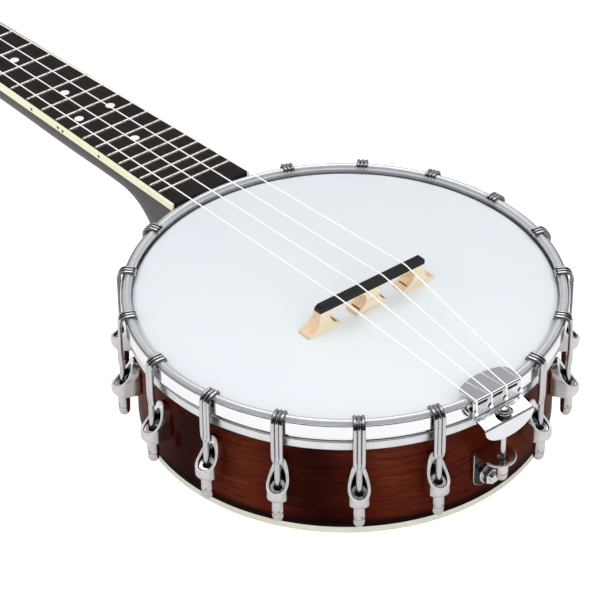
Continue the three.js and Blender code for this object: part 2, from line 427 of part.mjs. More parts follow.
// ---------------------------------------------------------------- origin under the middle of the outline
root.updateMatrixWorld(true);
const bb3 = new THREE.Box3().setFromObject(group, true);
group.position.x = -(bb3.min.x + bb3.max.x) / 2;
root.updateMatrixWorld(true);

export default root;
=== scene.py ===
import json
import math

import bmesh
import bpy
import numpy as np
from mathutils import Matrix, Vector
from mathutils.geometry import tessellate_polygon

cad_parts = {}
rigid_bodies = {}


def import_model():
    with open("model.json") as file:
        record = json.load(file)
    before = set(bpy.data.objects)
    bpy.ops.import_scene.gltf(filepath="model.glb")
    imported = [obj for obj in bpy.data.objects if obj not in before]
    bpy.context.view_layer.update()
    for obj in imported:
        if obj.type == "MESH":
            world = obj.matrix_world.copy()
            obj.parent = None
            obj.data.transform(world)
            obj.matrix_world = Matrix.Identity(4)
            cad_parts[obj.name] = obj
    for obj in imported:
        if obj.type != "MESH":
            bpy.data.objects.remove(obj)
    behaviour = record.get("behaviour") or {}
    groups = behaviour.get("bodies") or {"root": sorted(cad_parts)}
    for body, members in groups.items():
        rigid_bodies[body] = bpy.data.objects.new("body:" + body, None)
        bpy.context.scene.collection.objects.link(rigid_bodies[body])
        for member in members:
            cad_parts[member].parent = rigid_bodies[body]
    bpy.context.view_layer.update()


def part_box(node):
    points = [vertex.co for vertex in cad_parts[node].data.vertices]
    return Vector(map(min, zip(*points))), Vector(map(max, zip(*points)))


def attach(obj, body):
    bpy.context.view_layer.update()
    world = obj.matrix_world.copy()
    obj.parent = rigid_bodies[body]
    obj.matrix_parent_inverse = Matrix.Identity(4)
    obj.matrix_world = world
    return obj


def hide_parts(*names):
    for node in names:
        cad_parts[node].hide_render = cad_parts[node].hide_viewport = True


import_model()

MM = 0.001
_lo, _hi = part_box("drum_head")
SX = (_lo.x + _hi.x) / 2 / MM          # the pot's axis along X, mm
H = 68.3                               # reference height of the hoop's top edge
rad, deg = math.radians, math.degrees
cos, sin, pi = math.cos, math.sin, math.pi

# ------------------------------------------------------------------ driving dimensions (mm)
RIM_R, RIM_T, HEAD_DROP = 101.3, 12.7, 2.4
HEAD_Z = H - HEAD_DROP
SCALE, X_BRIDGE = 431.8, -17.5
X_NUT = X_BRIDGE + SCALE
SLOPE, BOARD_T, BIND, FRETS = -0.042, 3.7, 1.4, 20
HALF_20, HALF_NUT = 22.7, 15.8
HOOK_DEG = [23.7, 44.5, 64.4, 84.8, 104.7, 124.0, 143.7, 163.3]
ROD_R, ROD_r = 109.3, 1.45
HEAD_DEG, HEAD_T = 14, 12
POSTS = [(31, 18.5), (78, 21.5)]
STR_BRIDGE, STR_TAIL, STR_NUT, STR_r = 13.73, 9.1, 8.6, 0.32
HOOP_OUT = 107.3
BOLT_Z, ROD_Z = H - 37, H - 49.4


# ------------------------------------------------------------------ mesh helpers
class Geo:
    """Closed shells gathered into one mesh, each face with its finish."""

    def __init__(self):
        self.v, self.f, self.m, self.n = [], [], [], 0

    def add(self, vf, mat=0, M=None):
        V, F = np.asarray(vf[0], float).reshape(-1, 3), vf[1]
        if M is not None:
            A = np.array(M, float)
            V = V @ A[:3, :3].T + A[:3, 3]
        self.v.append(V)
        self.f += [tuple(i + self.n for i in f) for f in F]
        self.m += list(mat) if hasattr(mat, "__len__") else [mat] * len(F)
        self.n += len(V)
        return self


def arc(cx, cy, r, a0, a1, n, ry=None):
    ry = r if ry is None else ry
    return [(cx + r * cos(rad(a0 + (a1 - a0) * i / n)), cy + ry * sin(rad(a0 + (a1 - a0) * i / n))) for i in range(n + 1)]


def rounded(pts, r, n=4, closed=True):
    """The polygon with its corners rounded to r (one number, or one for each corner)."""
    P = [np.array(p, float) for p in pts]
    N, out = len(P), []
    for i, p in enumerate(P):
        ri = r[i] if hasattr(r, "__len__") else r
        if ri <= 0 or (not closed and i in (0, N - 1)):
            out.append(p)
            continue
        u, v = P[i - 1] - p, P[(i + 1) % N] - p
        lu, lv = np.linalg.norm(u), np.linalg.norm(v)
        u, v = u / lu, v / lv
        ang = math.acos(max(-1, min(1, float(u @ v))))
        if ang > rad(178) or ang < rad(2):
            out.append(p)
            continue
        t = min(ri / math.tan(ang / 2), 0.48 * lu, 0.48 * lv)
        c = p + (u + v) / np.linalg.norm(u + v) * (t / cos(ang / 2))
        w0, w1 = p + u * t - c, p + v * t - c
        th = math.acos(max(-1, min(1, float(w0 @ w1 / (np.linalg.norm(w0) * np.linalg.norm(w1))))))
        for k in range(n + 1):
            s = k / n
            out.append(c + (sin((1 - s) * th) * w0 + sin(s * th) * w1) / max(1e-9, sin(th)))
    return [tuple(p) for p in out]


def spline(P, n, closed=False):
    """A Catmull-Rom curve through the points, n steps between each two."""
    P = np.array(P, float)
    N, out = len(P), []
    for i in range(N if closed else N - 1):
        p1, p2 = P[i], P[(i + 1) % N]
        p0 = P[i - 1] if (i > 0 or closed) else 2 * p1 - p2
        p3 = P[(i + 2) % N] if (i + 2 < N or closed) else 2 * p2 - p1
        for k in range(n):
            t = k / n
            out.append(0.5 * (2 * p1 + (p2 - p0) * t + (2 * p0 - 5 * p1 + 4 * p2 - p3) * t * t + (3 * p1 - p0 - 3 * p2 + p3) * t ** 3))
    if not closed:
        out.append(P[-1])
    return np.array(out)


def lathe(prof, seg, closed=False):
    """Profile of (radius, z) turned round Z. Faces come out profile segment by profile segment, seg faces each."""
    P = np.array(prof, float)
    n = len(P)
    a = np.arange(seg) * 2 * pi / seg
    V = np.zeros((n, seg, 3))
    V[:, :, 0] = P[:, :1] * np.cos(a)
    V[:, :, 1] = P[:, :1] * np.sin(a)
    V[:, :, 2] = P[:, 1:]
    F = []
    for j in range(n if closed else n - 1):
        A, B = j * seg, ((j + 1) % n) * seg
        for i in range(seg):
            k = (i + 1) % seg
            F.append((A + i, A + k, B + k, B + i))
    return V.reshape(-1, 3), F


def loft(secs, caps=(True, True), wrap=False):
    S = np.array(secs, float)
    m, n = S.shape[:2]
    F = []
    for i in range(m if wrap else m - 1):
        a, b = i * n, ((i + 1) % m) * n
        for j in range(n):
            k = (j + 1) % n
            F.append((a + j, a + k, b + k, b + j))
    if not wrap:
        if caps[0]:
            F.append(tuple(range(n - 1, -1, -1)))
        if caps[1]:
            F.append(tuple(range((m - 1) * n, m * n)))
    return S.reshape(-1, 3), F


def area2(P):
    P = np.array(P)
    Q = np.roll(P, -1, 0)
    return float((P[:, 0] * Q[:, 1] - Q[:, 0] * P[:, 1]).sum())


def inset(P, d):
    """A counter-clockwise polygon moved inwards by d."""
    P = np.array(P, float)
    E = np.roll(P, -1, 0) - P
    T = E / np.maximum(1e-9, np.linalg.norm(E, axis=1))[:, None]
    Nn = np.stack([-T[:, 1], T[:, 0]], 1)
    Np = np.roll(Nn, 1, 0)
    m = Nn + Np
    m /= np.maximum(1e-6, np.linalg.norm(m, axis=1))[:, None]
    s = 1 / np.maximum(0.4, (m * Nn).sum(1))
    return P + m * (d * s)[:, None]


def prism(outline, t0, t1, bev=0.0, n=3, holes=(), bev0=None):
    """Outline in the first two axes, thick from t0 to t1 along the third, with its edges rounded."""
    loops = [np.array(outline, float)] + [np.array(h, float) for h in holes]
    if area2(loops[0]) < 0:
        loops[0] = loops[0][::-1]
    loops[1:] = [h[::-1] if area2(h) > 0 else h for h in loops[1:]]
    b1, b0 = bev, (bev if bev0 is None else bev0)
    lv = []
    if b0 > 0:
        lv += [(b0 * (1 - sin(rad(90 * k / n))), t0 + b0 * (1 - cos(rad(90 * k / n)))) for k in range(n + 1)]
    else:
        lv += [(0, t0)]
    if b1 > 0:
        lv += [(b1 * (1 - cos(rad(90 * k / n))), t1 - b1 * (1 - sin(rad(90 * k / n)))) for k in range(n + 1)]
    else:
        lv += [(0, t1)]
    V, F, caps0, caps1, off = [], [], [], [], 0
    for L in loops:
        c = len(L)
        for q, (d, t) in enumerate(lv):
            Q = inset(L, d) if d > 1e-9 else L
            V.append(np.column_stack([Q, np.full(c, t)]))
        for q in range(len(lv) - 1):
            a, b = off + q * c, off + (q + 1) * c
            for j in range(c):
                k = (j + 1) % c
                F.append((a + j, a + k, b + k, b + j))
        caps0.append((off, c))
        caps1.append((off + (len(lv) - 1) * c, c))
        off += c * len(lv)
    V = np.concatenate(V)
    for caps, flip in ((caps0, True), (caps1, False)):
        polys = [[Vector((V[o + i][0], V[o + i][1], 0)) for i in range(c)] for o, c in caps]
        idx = [o + i for o, c in caps for i in range(c)]
        for t in tessellate_polygon(polys):
            a, b, c = (idx[i] for i in t)
            ar = (V[b][0] - V[a][0]) * (V[c][1] - V[a][1]) - (V[c][0] - V[a][0]) * (V[b][1] - V[a][1])
            if abs(ar) < 1e-12:
                continue
            up = ar > 0
            F.append((a, b, c) if up != flip else (a, c, b))
    return V, F


def sweep(path, r, seg=14, caps=True, up=(0, 0, 1), round_end=True):
    """A round bar along a line of points; r is one radius, or one for each point."""
    P = np.array(path, float)
    R = np.full(len(P), r, float) if not hasattr(r, "__len__") else np.array(r, float)
    T = np.gradient(P, axis=0)
    T /= np.linalg.norm(T, axis=1)[:, None]
    n = np.array(up, float)
    n = n - T[0] * (n @ T[0])
    if np.linalg.norm(n) < 1e-3:
        n = np.array((0, 1.0, 0)) - T[0] * T[0][1]
    n /= np.linalg.norm(n)
    rings = []
    a = np.arange(seg) * 2 * pi / seg
    frames = []
    for i in range(len(P)):
        n = n - T[i] * (n @ T[i])
        n /= np.linalg.norm(n)
        frames.append((n.copy(), np.cross(T[i], n)))
    def ring(p, fr, rr):
        return p + rr * (np.cos(a)[:, None] * fr[0] + np.sin(a)[:, None] * fr[1])
    if round_end:
        for k in (1, 2, 3):
            q = rad(90 * k / 4)
            rings.append(ring(P[0] - T[0] * R[0] * cos(q), frames[0], R[0] * sin(q)))
    for i in range(len(P)):
        rings.append(ring(P[i], frames[i], R[i]))
    if round_end:
        for k in (3, 2, 1):
            q = rad(90 * k / 4)
            rings.append(ring(P[-1] + T[-1] * R[-1] * cos(q), frames[-1], R[-1] * sin(q)))
    return loft(rings, (caps, caps))


def M_xz():      # outline (a, b) with thickness t -> (x=a, y=t, z=b)
    return Matrix(((1, 0, 0, 0), (0, 0, 1, 0), (0, 1, 0, 0), (0, 0, 0, 1)))


def M_yz():      # outline (a, b) with thickness t -> (x=t, y=a, z=b)
    return Matrix(((0, 0, 1, 0), (1, 0, 0, 0), (0, 1, 0, 0), (0, 0, 0, 1)))


def M_x(x=0, y=0, z=0):      # lathe axis Z -> +X
    return Matrix.Translation((x, y, z)) @ Matrix(((0, 0, 1, 0), (0, 1, 0, 0), (-1, 0, 0, 0), (0, 0, 0, 1)))


def M_y(x=0, y=0, z=0, s=1):      # lathe axis Z -> +Y (or -Y)
    return Matrix.Translation((x, y, z)) @ (Matrix(((1, 0, 0, 0), (0, 0, s, 0), (0, -s, 0, 0), (0, 0, 0, 1))))


def T_(x, y, z):
    return Matrix.Translation((x, y, z))


def Rz(a):
    return Matrix.Rotation(rad(a), 4, "Z")


def mesh_of(name, g, mats, sharp=32, shift=True, dist=2e-4):
    me = bpy.data.meshes.new(name)
    V = np.concatenate(g.v)
    me.from_pydata(V.tolist(), [], g.f)
    me.polygons.foreach_set("material_index", np.array(g.m, np.int32))
    bm = bmesh.new()
    bm.from_mesh(me)
    bmesh.ops.remove_doubles(bm, verts=bm.verts, dist=dist)
    bmesh.ops.dissolve_degenerate(bm, edges=bm.edges, dist=1e-4)
    bmesh.ops.recalc_face_normals(bm, faces=bm.faces)
    bm.to_mesh(me)
    bm.free()
    me.transform(Matrix.Scale(MM, 4) @ T_(SX if shift else 0, 0, 0))
    for m in mats:
        me.materials.append(m)
    me.shade_smooth()
    me.set_sharp_from_angle(angle=rad(sharp))
    return me


def place(name, me, body="frame", rep=(), M=None):
    ob = bpy.data.objects.new(name, me)
    bpy.context.scene.collection.objects.link(ob)
    if M is not None:
        ob.matrix_world = M
    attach(ob, body)
    if rep:
        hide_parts(*rep)
    return ob


def build(name, g, mats, rep, body="frame", sharp=32):
    return place(name, mesh_of(name, g, mats, sharp), body, rep)


def boolean(target, cutters, op="DIFFERENCE"):
    """Cuts meshes (in the same frame) from target's mesh for good."""
    for c in cutters:
        md = target.modifiers.new("cut", "BOOLEAN")
        md.operation, md.solver, md.object = op, "EXACT", c
    bpy.context.view_layer.update()
    dg = bpy.context.evaluated_depsgraph_get()
    new = bpy.data.meshes.new_from_object(target.evaluated_get(dg))
    for m in list(target.modifiers):
        target.modifiers.remove(m)
    old = target.data
    target.data = new
    bpy.data.meshes.remove(old)
    for c in cutters:
        d = c.data
        bpy.data.objects.remove(c)
        bpy.data.meshes.remove(d)
    return target


def cutter(g):
    me = mesh_of("cutter", g, [])
    ob = bpy.data.objects.new("cutter", me)
    bpy.context.scene.collection.objects.link(ob)
    return ob


# ------------------------------------------------------------------ materials
def material(name, rough=0.5, metal=0.0, color=(0.8, 0.8, 0.8), coat=0.0, coat_rough=0.05, spec=0.5, ior=1.5, coat_ior=1.5):
    m = bpy.data.materials.new(name)
    m.use_nodes = True
    nt = m.node_tree
    b = nt.nodes["Principled BSDF"]
    b.inputs["Base Color"].default_value = (*color, 1)
    b.inputs["Roughness"].default_value = rough
    b.inputs["Metallic"].default_value = metal
    b.inputs["Coat Weight"].default_value = coat
    b.inputs["Coat Roughness"].default_value = coat_rough
    b.inputs["Coat IOR"].default_value = coat_ior
    b.inputs["Specular IOR Level"].default_value = spec
    b.inputs["IOR"].default_value = ior
    return m, nt, b


def node(nt, kind, ins=None, **props):
    n = nt.nodes.new("ShaderNode" + kind)
    for k, v in props.items():
        setattr(n, k, v)
    for k, v in (ins or {}).items():
        if hasattr(v, "node"):
            nt.links.new(v, n.inputs[k])
        else:
            n.inputs[k].default_value = v
    return n


def coords(nt, scale=(1, 1, 1), rot=(0, 0, 0)):
    tc = node(nt, "TexCoord")
    return node(nt, "Mapping", {"Vector": tc.outputs["Object"], "Scale": scale, "Rotation": rot}).outputs["Vector"]


def noise(nt, vec, scale, detail=4, rough=0.55, dist=0.0):
    return node(nt, "TexNoise", {"Vector": vec, "Scale": scale, "Detail": detail, "Roughness": rough, "Distortion": dist}).outputs["Fac"]


def ramp(nt, fac, stops, interp="LINEAR"):
    n = node(nt, "ValToRGB", {"Fac": fac})
    cr = n.color_ramp
    cr.interpolation = interp
    while len(cr.elements) < len(stops):
        cr.elements.new(0.5)
    for e, (p, c) in zip(cr.elements, stops):
        e.position = p
        e.color = (*c, 1) if len(c) == 3 else c
    return n.outputs["Color"]


def rng(nt, fac, lo, hi, a=0.0, b=1.0):
    return node(nt, "MapRange", {"Value": fac, "From Min": a, "From Max": b, "To Min": lo, "To Max": hi}).outputs["Result"]


def bump(nt, b, height, strength, dist):
    n = node(nt, "Bump", {"Height": height, "Strength": strength, "Distance": dist})
    nt.links.new(n.outputs["Normal"], b.inputs["Normal"])
    return n


def metal(name, c0, c1, r0, r1, scale=500, bump_s=0.05, bump_d=0.00005, big=60):
    """Plated metal: slightly uneven tone and polish, with a faint cast or polished waviness."""
    m, nt, b = material(name, metal=1.0)
    v = coords(nt)
    n1, n2 = noise(nt, v, big, 3), noise(nt, v, scale, 5, 0.6)
    nt.links.new(ramp(nt, n1, [(0.3, c0), (0.7, c1)]), b.inputs["Base Color"])
    nt.links.new(rng(nt, n2, r0, r1, 0.3, 0.7), b.inputs["Roughness"])
    bump(nt, b, n2, bump_s, bump_d)
    return m


CHROME = metal("polished_chrome", (0.58, 0.565, 0.57), (0.66, 0.64, 0.645), 0.04, 0.13, 320, 0.10, 0.00004)
# darker chrome: painted shade for the hooks' grooves, edges and undersides and for the tailpiece's folds
CHROME_PAINTED_SHADE = metal("chrome_in_creases", (0.19, 0.18, 0.185), (0.27, 0.255, 0.26), 0.20, 0.34, 320, 0.10, 0.00004)
CAST = metal("plated_casting", (0.66, 0.62, 0.61), (0.78, 0.74, 0.73), 0.07, 0.20, 260, 0.22, 0.00008, 120)
APRON = metal("bright_apron", (0.97, 0.97, 0.98), (1.0, 1.0, 1.0), 0.05, 0.14, 420, 0.05, 0.00003)
ALU = metal("flesh_ring_aluminium", (0.70, 0.71, 0.72), (0.84, 0.84, 0.85), 0.22, 0.42, 700, 0.25, 0.00006, 90)
NICKEL = metal("polished_nickel", (0.78, 0.77, 0.75), (0.88, 0.87, 0.85), 0.06, 0.16, 400, 0.08, 0.00004)
PLATE = metal("tail_plate_chrome", (0.84, 0.84, 0.86), (0.90, 0.90, 0.92), 0.03, 0.09, 200, 0.04, 0.00003)
FRET = metal("fret_wire", (0.74, 0.655, 0.575), (0.84, 0.77, 0.70), 0.24, 0.36, 900, 0.1, 0.00003)


# black for the real black inlay (the rim's line, the side dots) and for painted shade: black discs, plates and bars put
# where holes, windows and screw slots fall into shade
def make_inlay_and_shade_black():
    m, nt, b = material("black_inlay", rough=0.5, spec=0.03)
    v = coords(nt)
    n = noise(nt, v, 300)
    nt.links.new(ramp(nt, n, [(0.3, (0.0022, 0.0016, 0.0012)), (0.7, (0.0065, 0.0045, 0.0040))]), b.inputs["Base Color"])
    return m


INLAY_AND_SHADE_BLACK = make_inlay_and_shade_black()


def rim_wood(name, coat, dark=1.0):
    """Stained wood whose grain runs round the pot, with painted highlight and reflection bands."""
    m, nt, b = material(name, rough=0.4, coat=coat, coat_rough=0.04, spec=0.0, coat_ior=1.17)
    tc = node(nt, "TexCoord").outputs["Object"]
    s = node(nt, "SeparateXYZ", {"Vector": tc})
    x = node(nt, "Math", {0: s.outputs["X"], 1: -SX * MM}, operation="ADD").outputs[0]
    nx = node(nt, "Math", {0: x, 1: -1.0}, operation="MULTIPLY").outputs[0]
    ny = node(nt, "Math", {0: s.outputs["Y"], 1: -1.0}, operation="MULTIPLY").outputs[0]
    a = node(nt, "Math", {0: ny, 1: nx}, operation="ARCTAN2").outputs[0]
    u = node(nt, "Math", {0: a, 1: 0.1013}, operation="MULTIPLY").outputs[0]
    # the grain wanders slowly up and down along its run
    w = noise(nt, node(nt, "CombineXYZ", {"X": u}).outputs[0], 14, 2)
    z = node(nt, "Math", {0: node(nt, "Math", {0: w, 1: 0.006}, operation="MULTIPLY").outputs[0], 1: s.outputs["Z"]}, operation="ADD").outputs[0]
    r = node(nt, "VectorMath", {0: tc}, operation="LENGTH").outputs["Value"]
    vec = node(nt, "CombineXYZ", {"X": u, "Y": z, "Z": r}).outputs[0]
    long_ = node(nt, "Mapping", {"Vector": vec, "Scale": (46, 560, 1)}).outputs[0]
    fine = node(nt, "Mapping", {"Vector": vec, "Scale": (170, 1700, 1)}).outputs[0]
    cloud = node(nt, "Mapping", {"Vector": vec, "Scale": (7, 26, 1)}).outputs[0]
    g1, g2, g3 = noise(nt, long_, 1.0, 6, 0.62, 0.4), noise(nt, fine, 1.0, 4, 0.6), noise(nt, cloud, 1.0, 3)
    base = ramp(nt, g1, [(0.25, (0.036 * dark, 0.0042 * dark, 0.0022 * dark)), (0.5, (0.074 * dark, 0.0098 * dark, 0.0040 * dark)), (0.78, (0.112 * dark, 0.019 * dark, 0.0066 * dark))])
    pores = ramp(nt, g2, [(0.34, (0.45, 0.38, 0.36)), (0.5, (1, 1, 1))])
    tone = ramp(nt, g3, [(0.3, (0.62, 0.55, 0.52)), (0.7, (1.25, 1.3, 1.3))])
    c1b = mix_color(nt, base, pores, 0.7, "MULTIPLY")
    c1c = mix_color(nt, c1b, tone, 0.5, "MULTIPLY")
    # painted highlights and reflections: warm bright bands and dark bands at fixed angles round the pot, nine to a
    # turn, the dark ones held back past one angle
    ph = node(nt, "Math", {0: node(nt, "Math", {0: a, 1: 9.0}, operation="MULTIPLY").outputs[0], 1: 9 * pi - 17.9}, operation="ADD").outputs[0]
    ph2 = node(nt, "Math", {0: ph, 1: rng(nt, g3, -0.9, 0.9, 0.3, 0.7)}, operation="ADD").outputs[0]
    wave = node(nt, "Math", {0: ph2}, operation="COSINE").outputs[0]
    floor_ = rng(nt, a, -1.0, 0.3, -0.40, -0.20)
    painted_light_bands = node(nt, "Math", {0: wave, 1: floor_}, operation="MAXIMUM").outputs[0]
    c2a = mix_color(nt, c1c, ramp(nt, rng(nt, painted_light_bands, 0.0, 1.0, -1.0, 1.0), [(0.0, (0.26, 0.15, 0.20)), (0.35, (0.70, 0.60, 0.62)), (0.7, (1.08, 1.10, 1.0)), (1.0, (1.28, 1.62, 1.40))]), 1.0, "MULTIPLY")
    # darker towards the bottom, just above the black line
    low = rng(nt, s.outputs["Z"], 0.12, 1.0, 0.0056, 0.0105)
    c2 = mix_color(nt, c2a, node(nt, "CombineColor", {0: low, 1: low, 2: low}).outputs[0], 1.0, "MULTIPLY")
    nt.links.new(c2, b.inputs["Base Color"])
    nt.links.new(rng(nt, g1, 0.25, 0.45), b.inputs["Roughness"])
    bump(nt, b, g2, 0.06, 0.00004)
    return m


def mix_color(nt, a, b, fac, mode="MIX"):
    n = nt.nodes.new("ShaderNodeMix")
    n.data_type, n.blend_type = "RGBA", mode
    f, A, B = n.inputs[0], n.inputs[6], n.inputs[7]      # the Mix node's factor and its two colour sockets
    for sock, val in ((f, fac), (A, a), (B, b)):
        if hasattr(val, "node"):
            nt.links.new(val, sock)
        elif sock is f:
            sock.default_value = val
        else:
            sock.default_value = (*val, 1)
    return n.outputs[2]


def straight_wood(name, stops, sx, sy, sz, rough=(0.3, 0.5), coat=0.0, fine=(60, 1200, 1200), pore=0.6, bump_s=0.1, coat_rough=0.08, spec=0.5):
    """Wood with straight grain along X."""
    m, nt, b = material(name, coat=coat, coat_rough=coat_rough, spec=spec)
    g1 = noise(nt, coords(nt, (sx, sy, sz)), 1.0, 5, 0.6, 0.5)
    g2 = noise(nt, coords(nt, fine), 1.0, 3, 0.6)
    c = mix_color(nt, ramp(nt, g1, stops), ramp(nt, g2, [(0.32, (0.4, 0.38, 0.36)), (0.5, (1, 1, 1))]), pore, "MULTIPLY")
    nt.links.new(c, b.inputs["Base Color"])
    nt.links.new(rng(nt, g1, rough[0], rough[1]), b.inputs["Roughness"])
    bump(nt, b, g2, bump_s, 0.00005)
    return m


def plastic(name, c0, c1, rough=(0.25, 0.4), coat=0.0, scale=120, bump_s=0.03, glow=0.0):
    m, nt, b = material(name, coat=coat)
    b.inputs["Emission Color"].default_value = (1, 1, 1, 1)      # painted glow: emission that stands for the light that clear nylon passes on
    b.inputs["Emission Strength"].default_value = glow
    v = coords(nt)
    n1, n2 = noise(nt, v, scale, 3), noise(nt, v, 900, 3)
    nt.links.new(ramp(nt, n1, [(0.3, c0), (0.7, c1)]), b.inputs["Base Color"])
    nt.links.new(rng(nt, n2, rough[0], rough[1]), b.inputs["Roughness"])
    bump(nt, b, n2, bump_s, 0.00003)
    return m


MAHOGANY = rim_wood("mahogany_gloss", 0.35)
MAHOGANY_IN = rim_wood("mahogany_inside", 0.25, 1.2)
BINDING = plastic("cream_binding", (0.86, 0.82, 0.57), (0.90, 0.87, 0.65), (0.28, 0.42), 0.3)
RIM_BIND = plastic("cream_rim_binding", (0.68, 0.645, 0.52), (0.76, 0.73, 0.61), (0.28, 0.42), 0.4)
NECK_WOOD = straight_wood("neck_dark_gloss", [(0.3, (0.024, 0.013, 0.013)), (0.7, (0.050, 0.028, 0.027))], 12, 160, 160, (0.3, 0.45), 0.5, pore=0.3, bump_s=0.03, coat_rough=0.10, spec=0.2)
BOARD_WOOD = straight_wood("board_near_black", [(0.3, (0.011, 0.0075, 0.0075)), (0.7, (0.024, 0.017, 0.016))], 10, 260, 260, (0.42, 0.6), pore=0.7, bump_s=0.25, spec=0.12)
MAPLE = straight_wood("bridge_maple", [(0.25, (0.84, 0.64, 0.43)), (0.5, (0.91, 0.77, 0.57)), (0.8, (0.94, 0.84, 0.67))], 120, 40, 380, (0.4, 0.6), fine=(700, 60, 1500), pore=0.35, bump_s=0.12)
# darker maple for the bridge's flanks: partly end grain, partly painted shade
MAPLE_FLANK_GRAIN_SHADE = straight_wood("maple_end_grain", [(0.25, (0.70, 0.47, 0.29)), (0.5, (0.80, 0.58, 0.38)), (0.8, (0.88, 0.70, 0.50))], 500, 60, 500, (0.45, 0.65), fine=(1400, 300, 1400), pore=0.3, bump_s=0.12, spec=0.2)
TOE_LINE_BROWN = straight_wood("kerf_brown", [(0.3, (0.10, 0.045, 0.018)), (0.7, (0.17, 0.085, 0.035))], 240, 60, 240, (0.5, 0.7), spec=0.1)
EBONY = straight_wood("bridge_ebony", [(0.3, (0.012, 0.010, 0.011)), (0.7, (0.024, 0.021, 0.022))], 240, 10, 240, (0.35, 0.5), fine=(1200, 60, 1200), pore=0.5, bump_s=0.12, spec=0.15)
BONE = plastic("nut_ivory", (0.80, 0.77, 0.66), (0.86, 0.84, 0.74), (0.3, 0.45))
# strings: white nylon with a small painted glow
NYLON = plastic("white_nylon", (0.90, 0.90, 0.90), (0.95, 0.95, 0.95), (0.15, 0.28), 0.2, 600, glow=0.13)
BUTTON = plastic("button_cream", (0.76, 0.72, 0.60), (0.86, 0.83, 0.73), (0.18, 0.30), 0.5, 90)


def pearl():
    m, nt, b = material("pearl_dot", rough=0.2, coat=0.6)
    v = coords(nt)
    n = noise(nt, v, 900, 4, 0.6, 1.2)
    nt.links.new(ramp(nt, n, [(0.3, (0.84, 0.87, 0.90)), (0.5, (0.94, 0.95, 0.95)), (0.7, (0.90, 0.88, 0.90))]), b.inputs["Base Color"])
    return m


PEARL = pearl()


def satin(name, c0, c1, share=0.4, rough=(0.16, 0.32), bump_s=0.08):
    """Worn satin plating, half mirror and half pale haze."""
    m, nt, b = material(name, metal=share)
    v = coords(nt)
    n1, n2 = noise(nt, v, 160, 3), noise(nt, v, 600, 4, 0.6)
    nt.links.new(ramp(nt, n1, [(0.3, c0), (0.7, c1)]), b.inputs["Base Color"])
    nt.links.new(rng(nt, n2, rough[0], rough[1], 0.3, 0.7), b.inputs["Roughness"])
    bump(nt, b, n2, bump_s, 0.00003)
    return m


WALL = satin("tail_wall_satin", (0.86, 0.86, 0.88), (0.92, 0.92, 0.94), 0.35)
BEAD = satin("satin_bead", (0.70, 0.715, 0.74), (0.77, 0.785, 0.81), 0.62, (0.33, 0.38), 0.008)
LIP = satin("cup_lip_satin", (0.84, 0.825, 0.825), (0.92, 0.91, 0.91), 0.42)
# darkened chrome: painted shade on the inner walls of the shoes' hollows
SHOE_HOLLOW_SHADE = metal("bracket_dark_chrome", (0.075, 0.070, 0.074), (0.16, 0.15, 0.155), 0.07, 0.16, 260, 0.12, 0.00005)

# near-black chrome: painted shade on the tail bracket's plate
BRACKET_PAINTED_SHADE = metal("bracket_face_chrome", (0.030, 0.028, 0.030), (0.075, 0.070, 0.074), 0.08, 0.18, 260, 0.12, 0.00005)


def skin():
    """Frosted drum head: fine sprayed coating over a stretched film."""
    m, nt, b = material("frosted_skin", rough=0.38, spec=0.45)
    v = coords(nt)
    n1, n2 = noise(nt, v, 9, 3), noise(nt, v, 2600, 3, 0.6)
    # painted shade: the head's colour darkens a touch towards the neck's far side
    xyz = node(nt, "TexCoord").outputs["Object"]
    far = node(nt, "VectorMath", {0: xyz, 1: (0.78, -0.63, 0.0)}, operation="DOT_PRODUCT").outputs["Value"]
    far_side_shade = rng(nt, far, 1.0, 0.90, SX * MM * 0.78 - 0.09, SX * MM * 0.78 + 0.09)
    tone = node(nt, "CombineColor", {0: far_side_shade, 1: far_side_shade, 2: far_side_shade}).outputs[0]
    nt.links.new(mix_color(nt, ramp(nt, n1, [(0.3, (0.790, 0.832, 0.862)), (0.7, (0.812, 0.852, 0.880))]), tone, 1.0, "MULTIPLY"), b.inputs["Base Color"])
    nt.links.new(rng(nt, n2, 0.30, 0.46, 0.3, 0.7), b.inputs["Roughness"])
    bump(nt, b, n2, 0.12, 0.00003)
    return m


SKIN = skin()

# ------------------------------------------------------------------ pot
SEG = 288
g = Geo()
inner = RIM_R - RIM_T
prof = rounded([(inner, 0), (RIM_R - 2.4, 0), (RIM_R - 2.4, 3.75), (RIM_R, 3.75), (RIM_R, 5.7), (RIM_R, HEAD_Z - 3.4), (RIM_R - 2.2, HEAD_Z - 0.75), (RIM_R - 6, HEAD_Z - 0.75), (inner, HEAD_Z - 7)],
               [1.2, 0, 0, 0, 0, 1.5, 1.5, 2, 3], 5)
mats = []
for j in range(len(prof)):
    (r0, z0), (r1, z1) = prof[j], prof[(j + 1) % len(prof)]
    outside = min(r0, r1) > RIM_R - 0.01
    mats += [1 if (outside and z0 < 5.8 and z1 < 5.8) else (0 if min(r0, r1) > RIM_R - 2.3 else 2)] * SEG
g.add(lathe(prof, SEG, True), mats)
build("rim_visual", g, [MAHOGANY, INLAY_AND_SHADE_BLACK, MAHOGANY_IN], ["rim"])

g = Geo()
g.add(lathe(rounded([(RIM_R - 2.38, 0), (RIM_R, 0), (RIM_R, 3.72), (RIM_R - 2.38, 3.72)], [0.1, 0.7, 0.12, 0], 4), SEG, True))
build("rim_binding_visual", g, [RIM_BIND], ["rim_binding"])

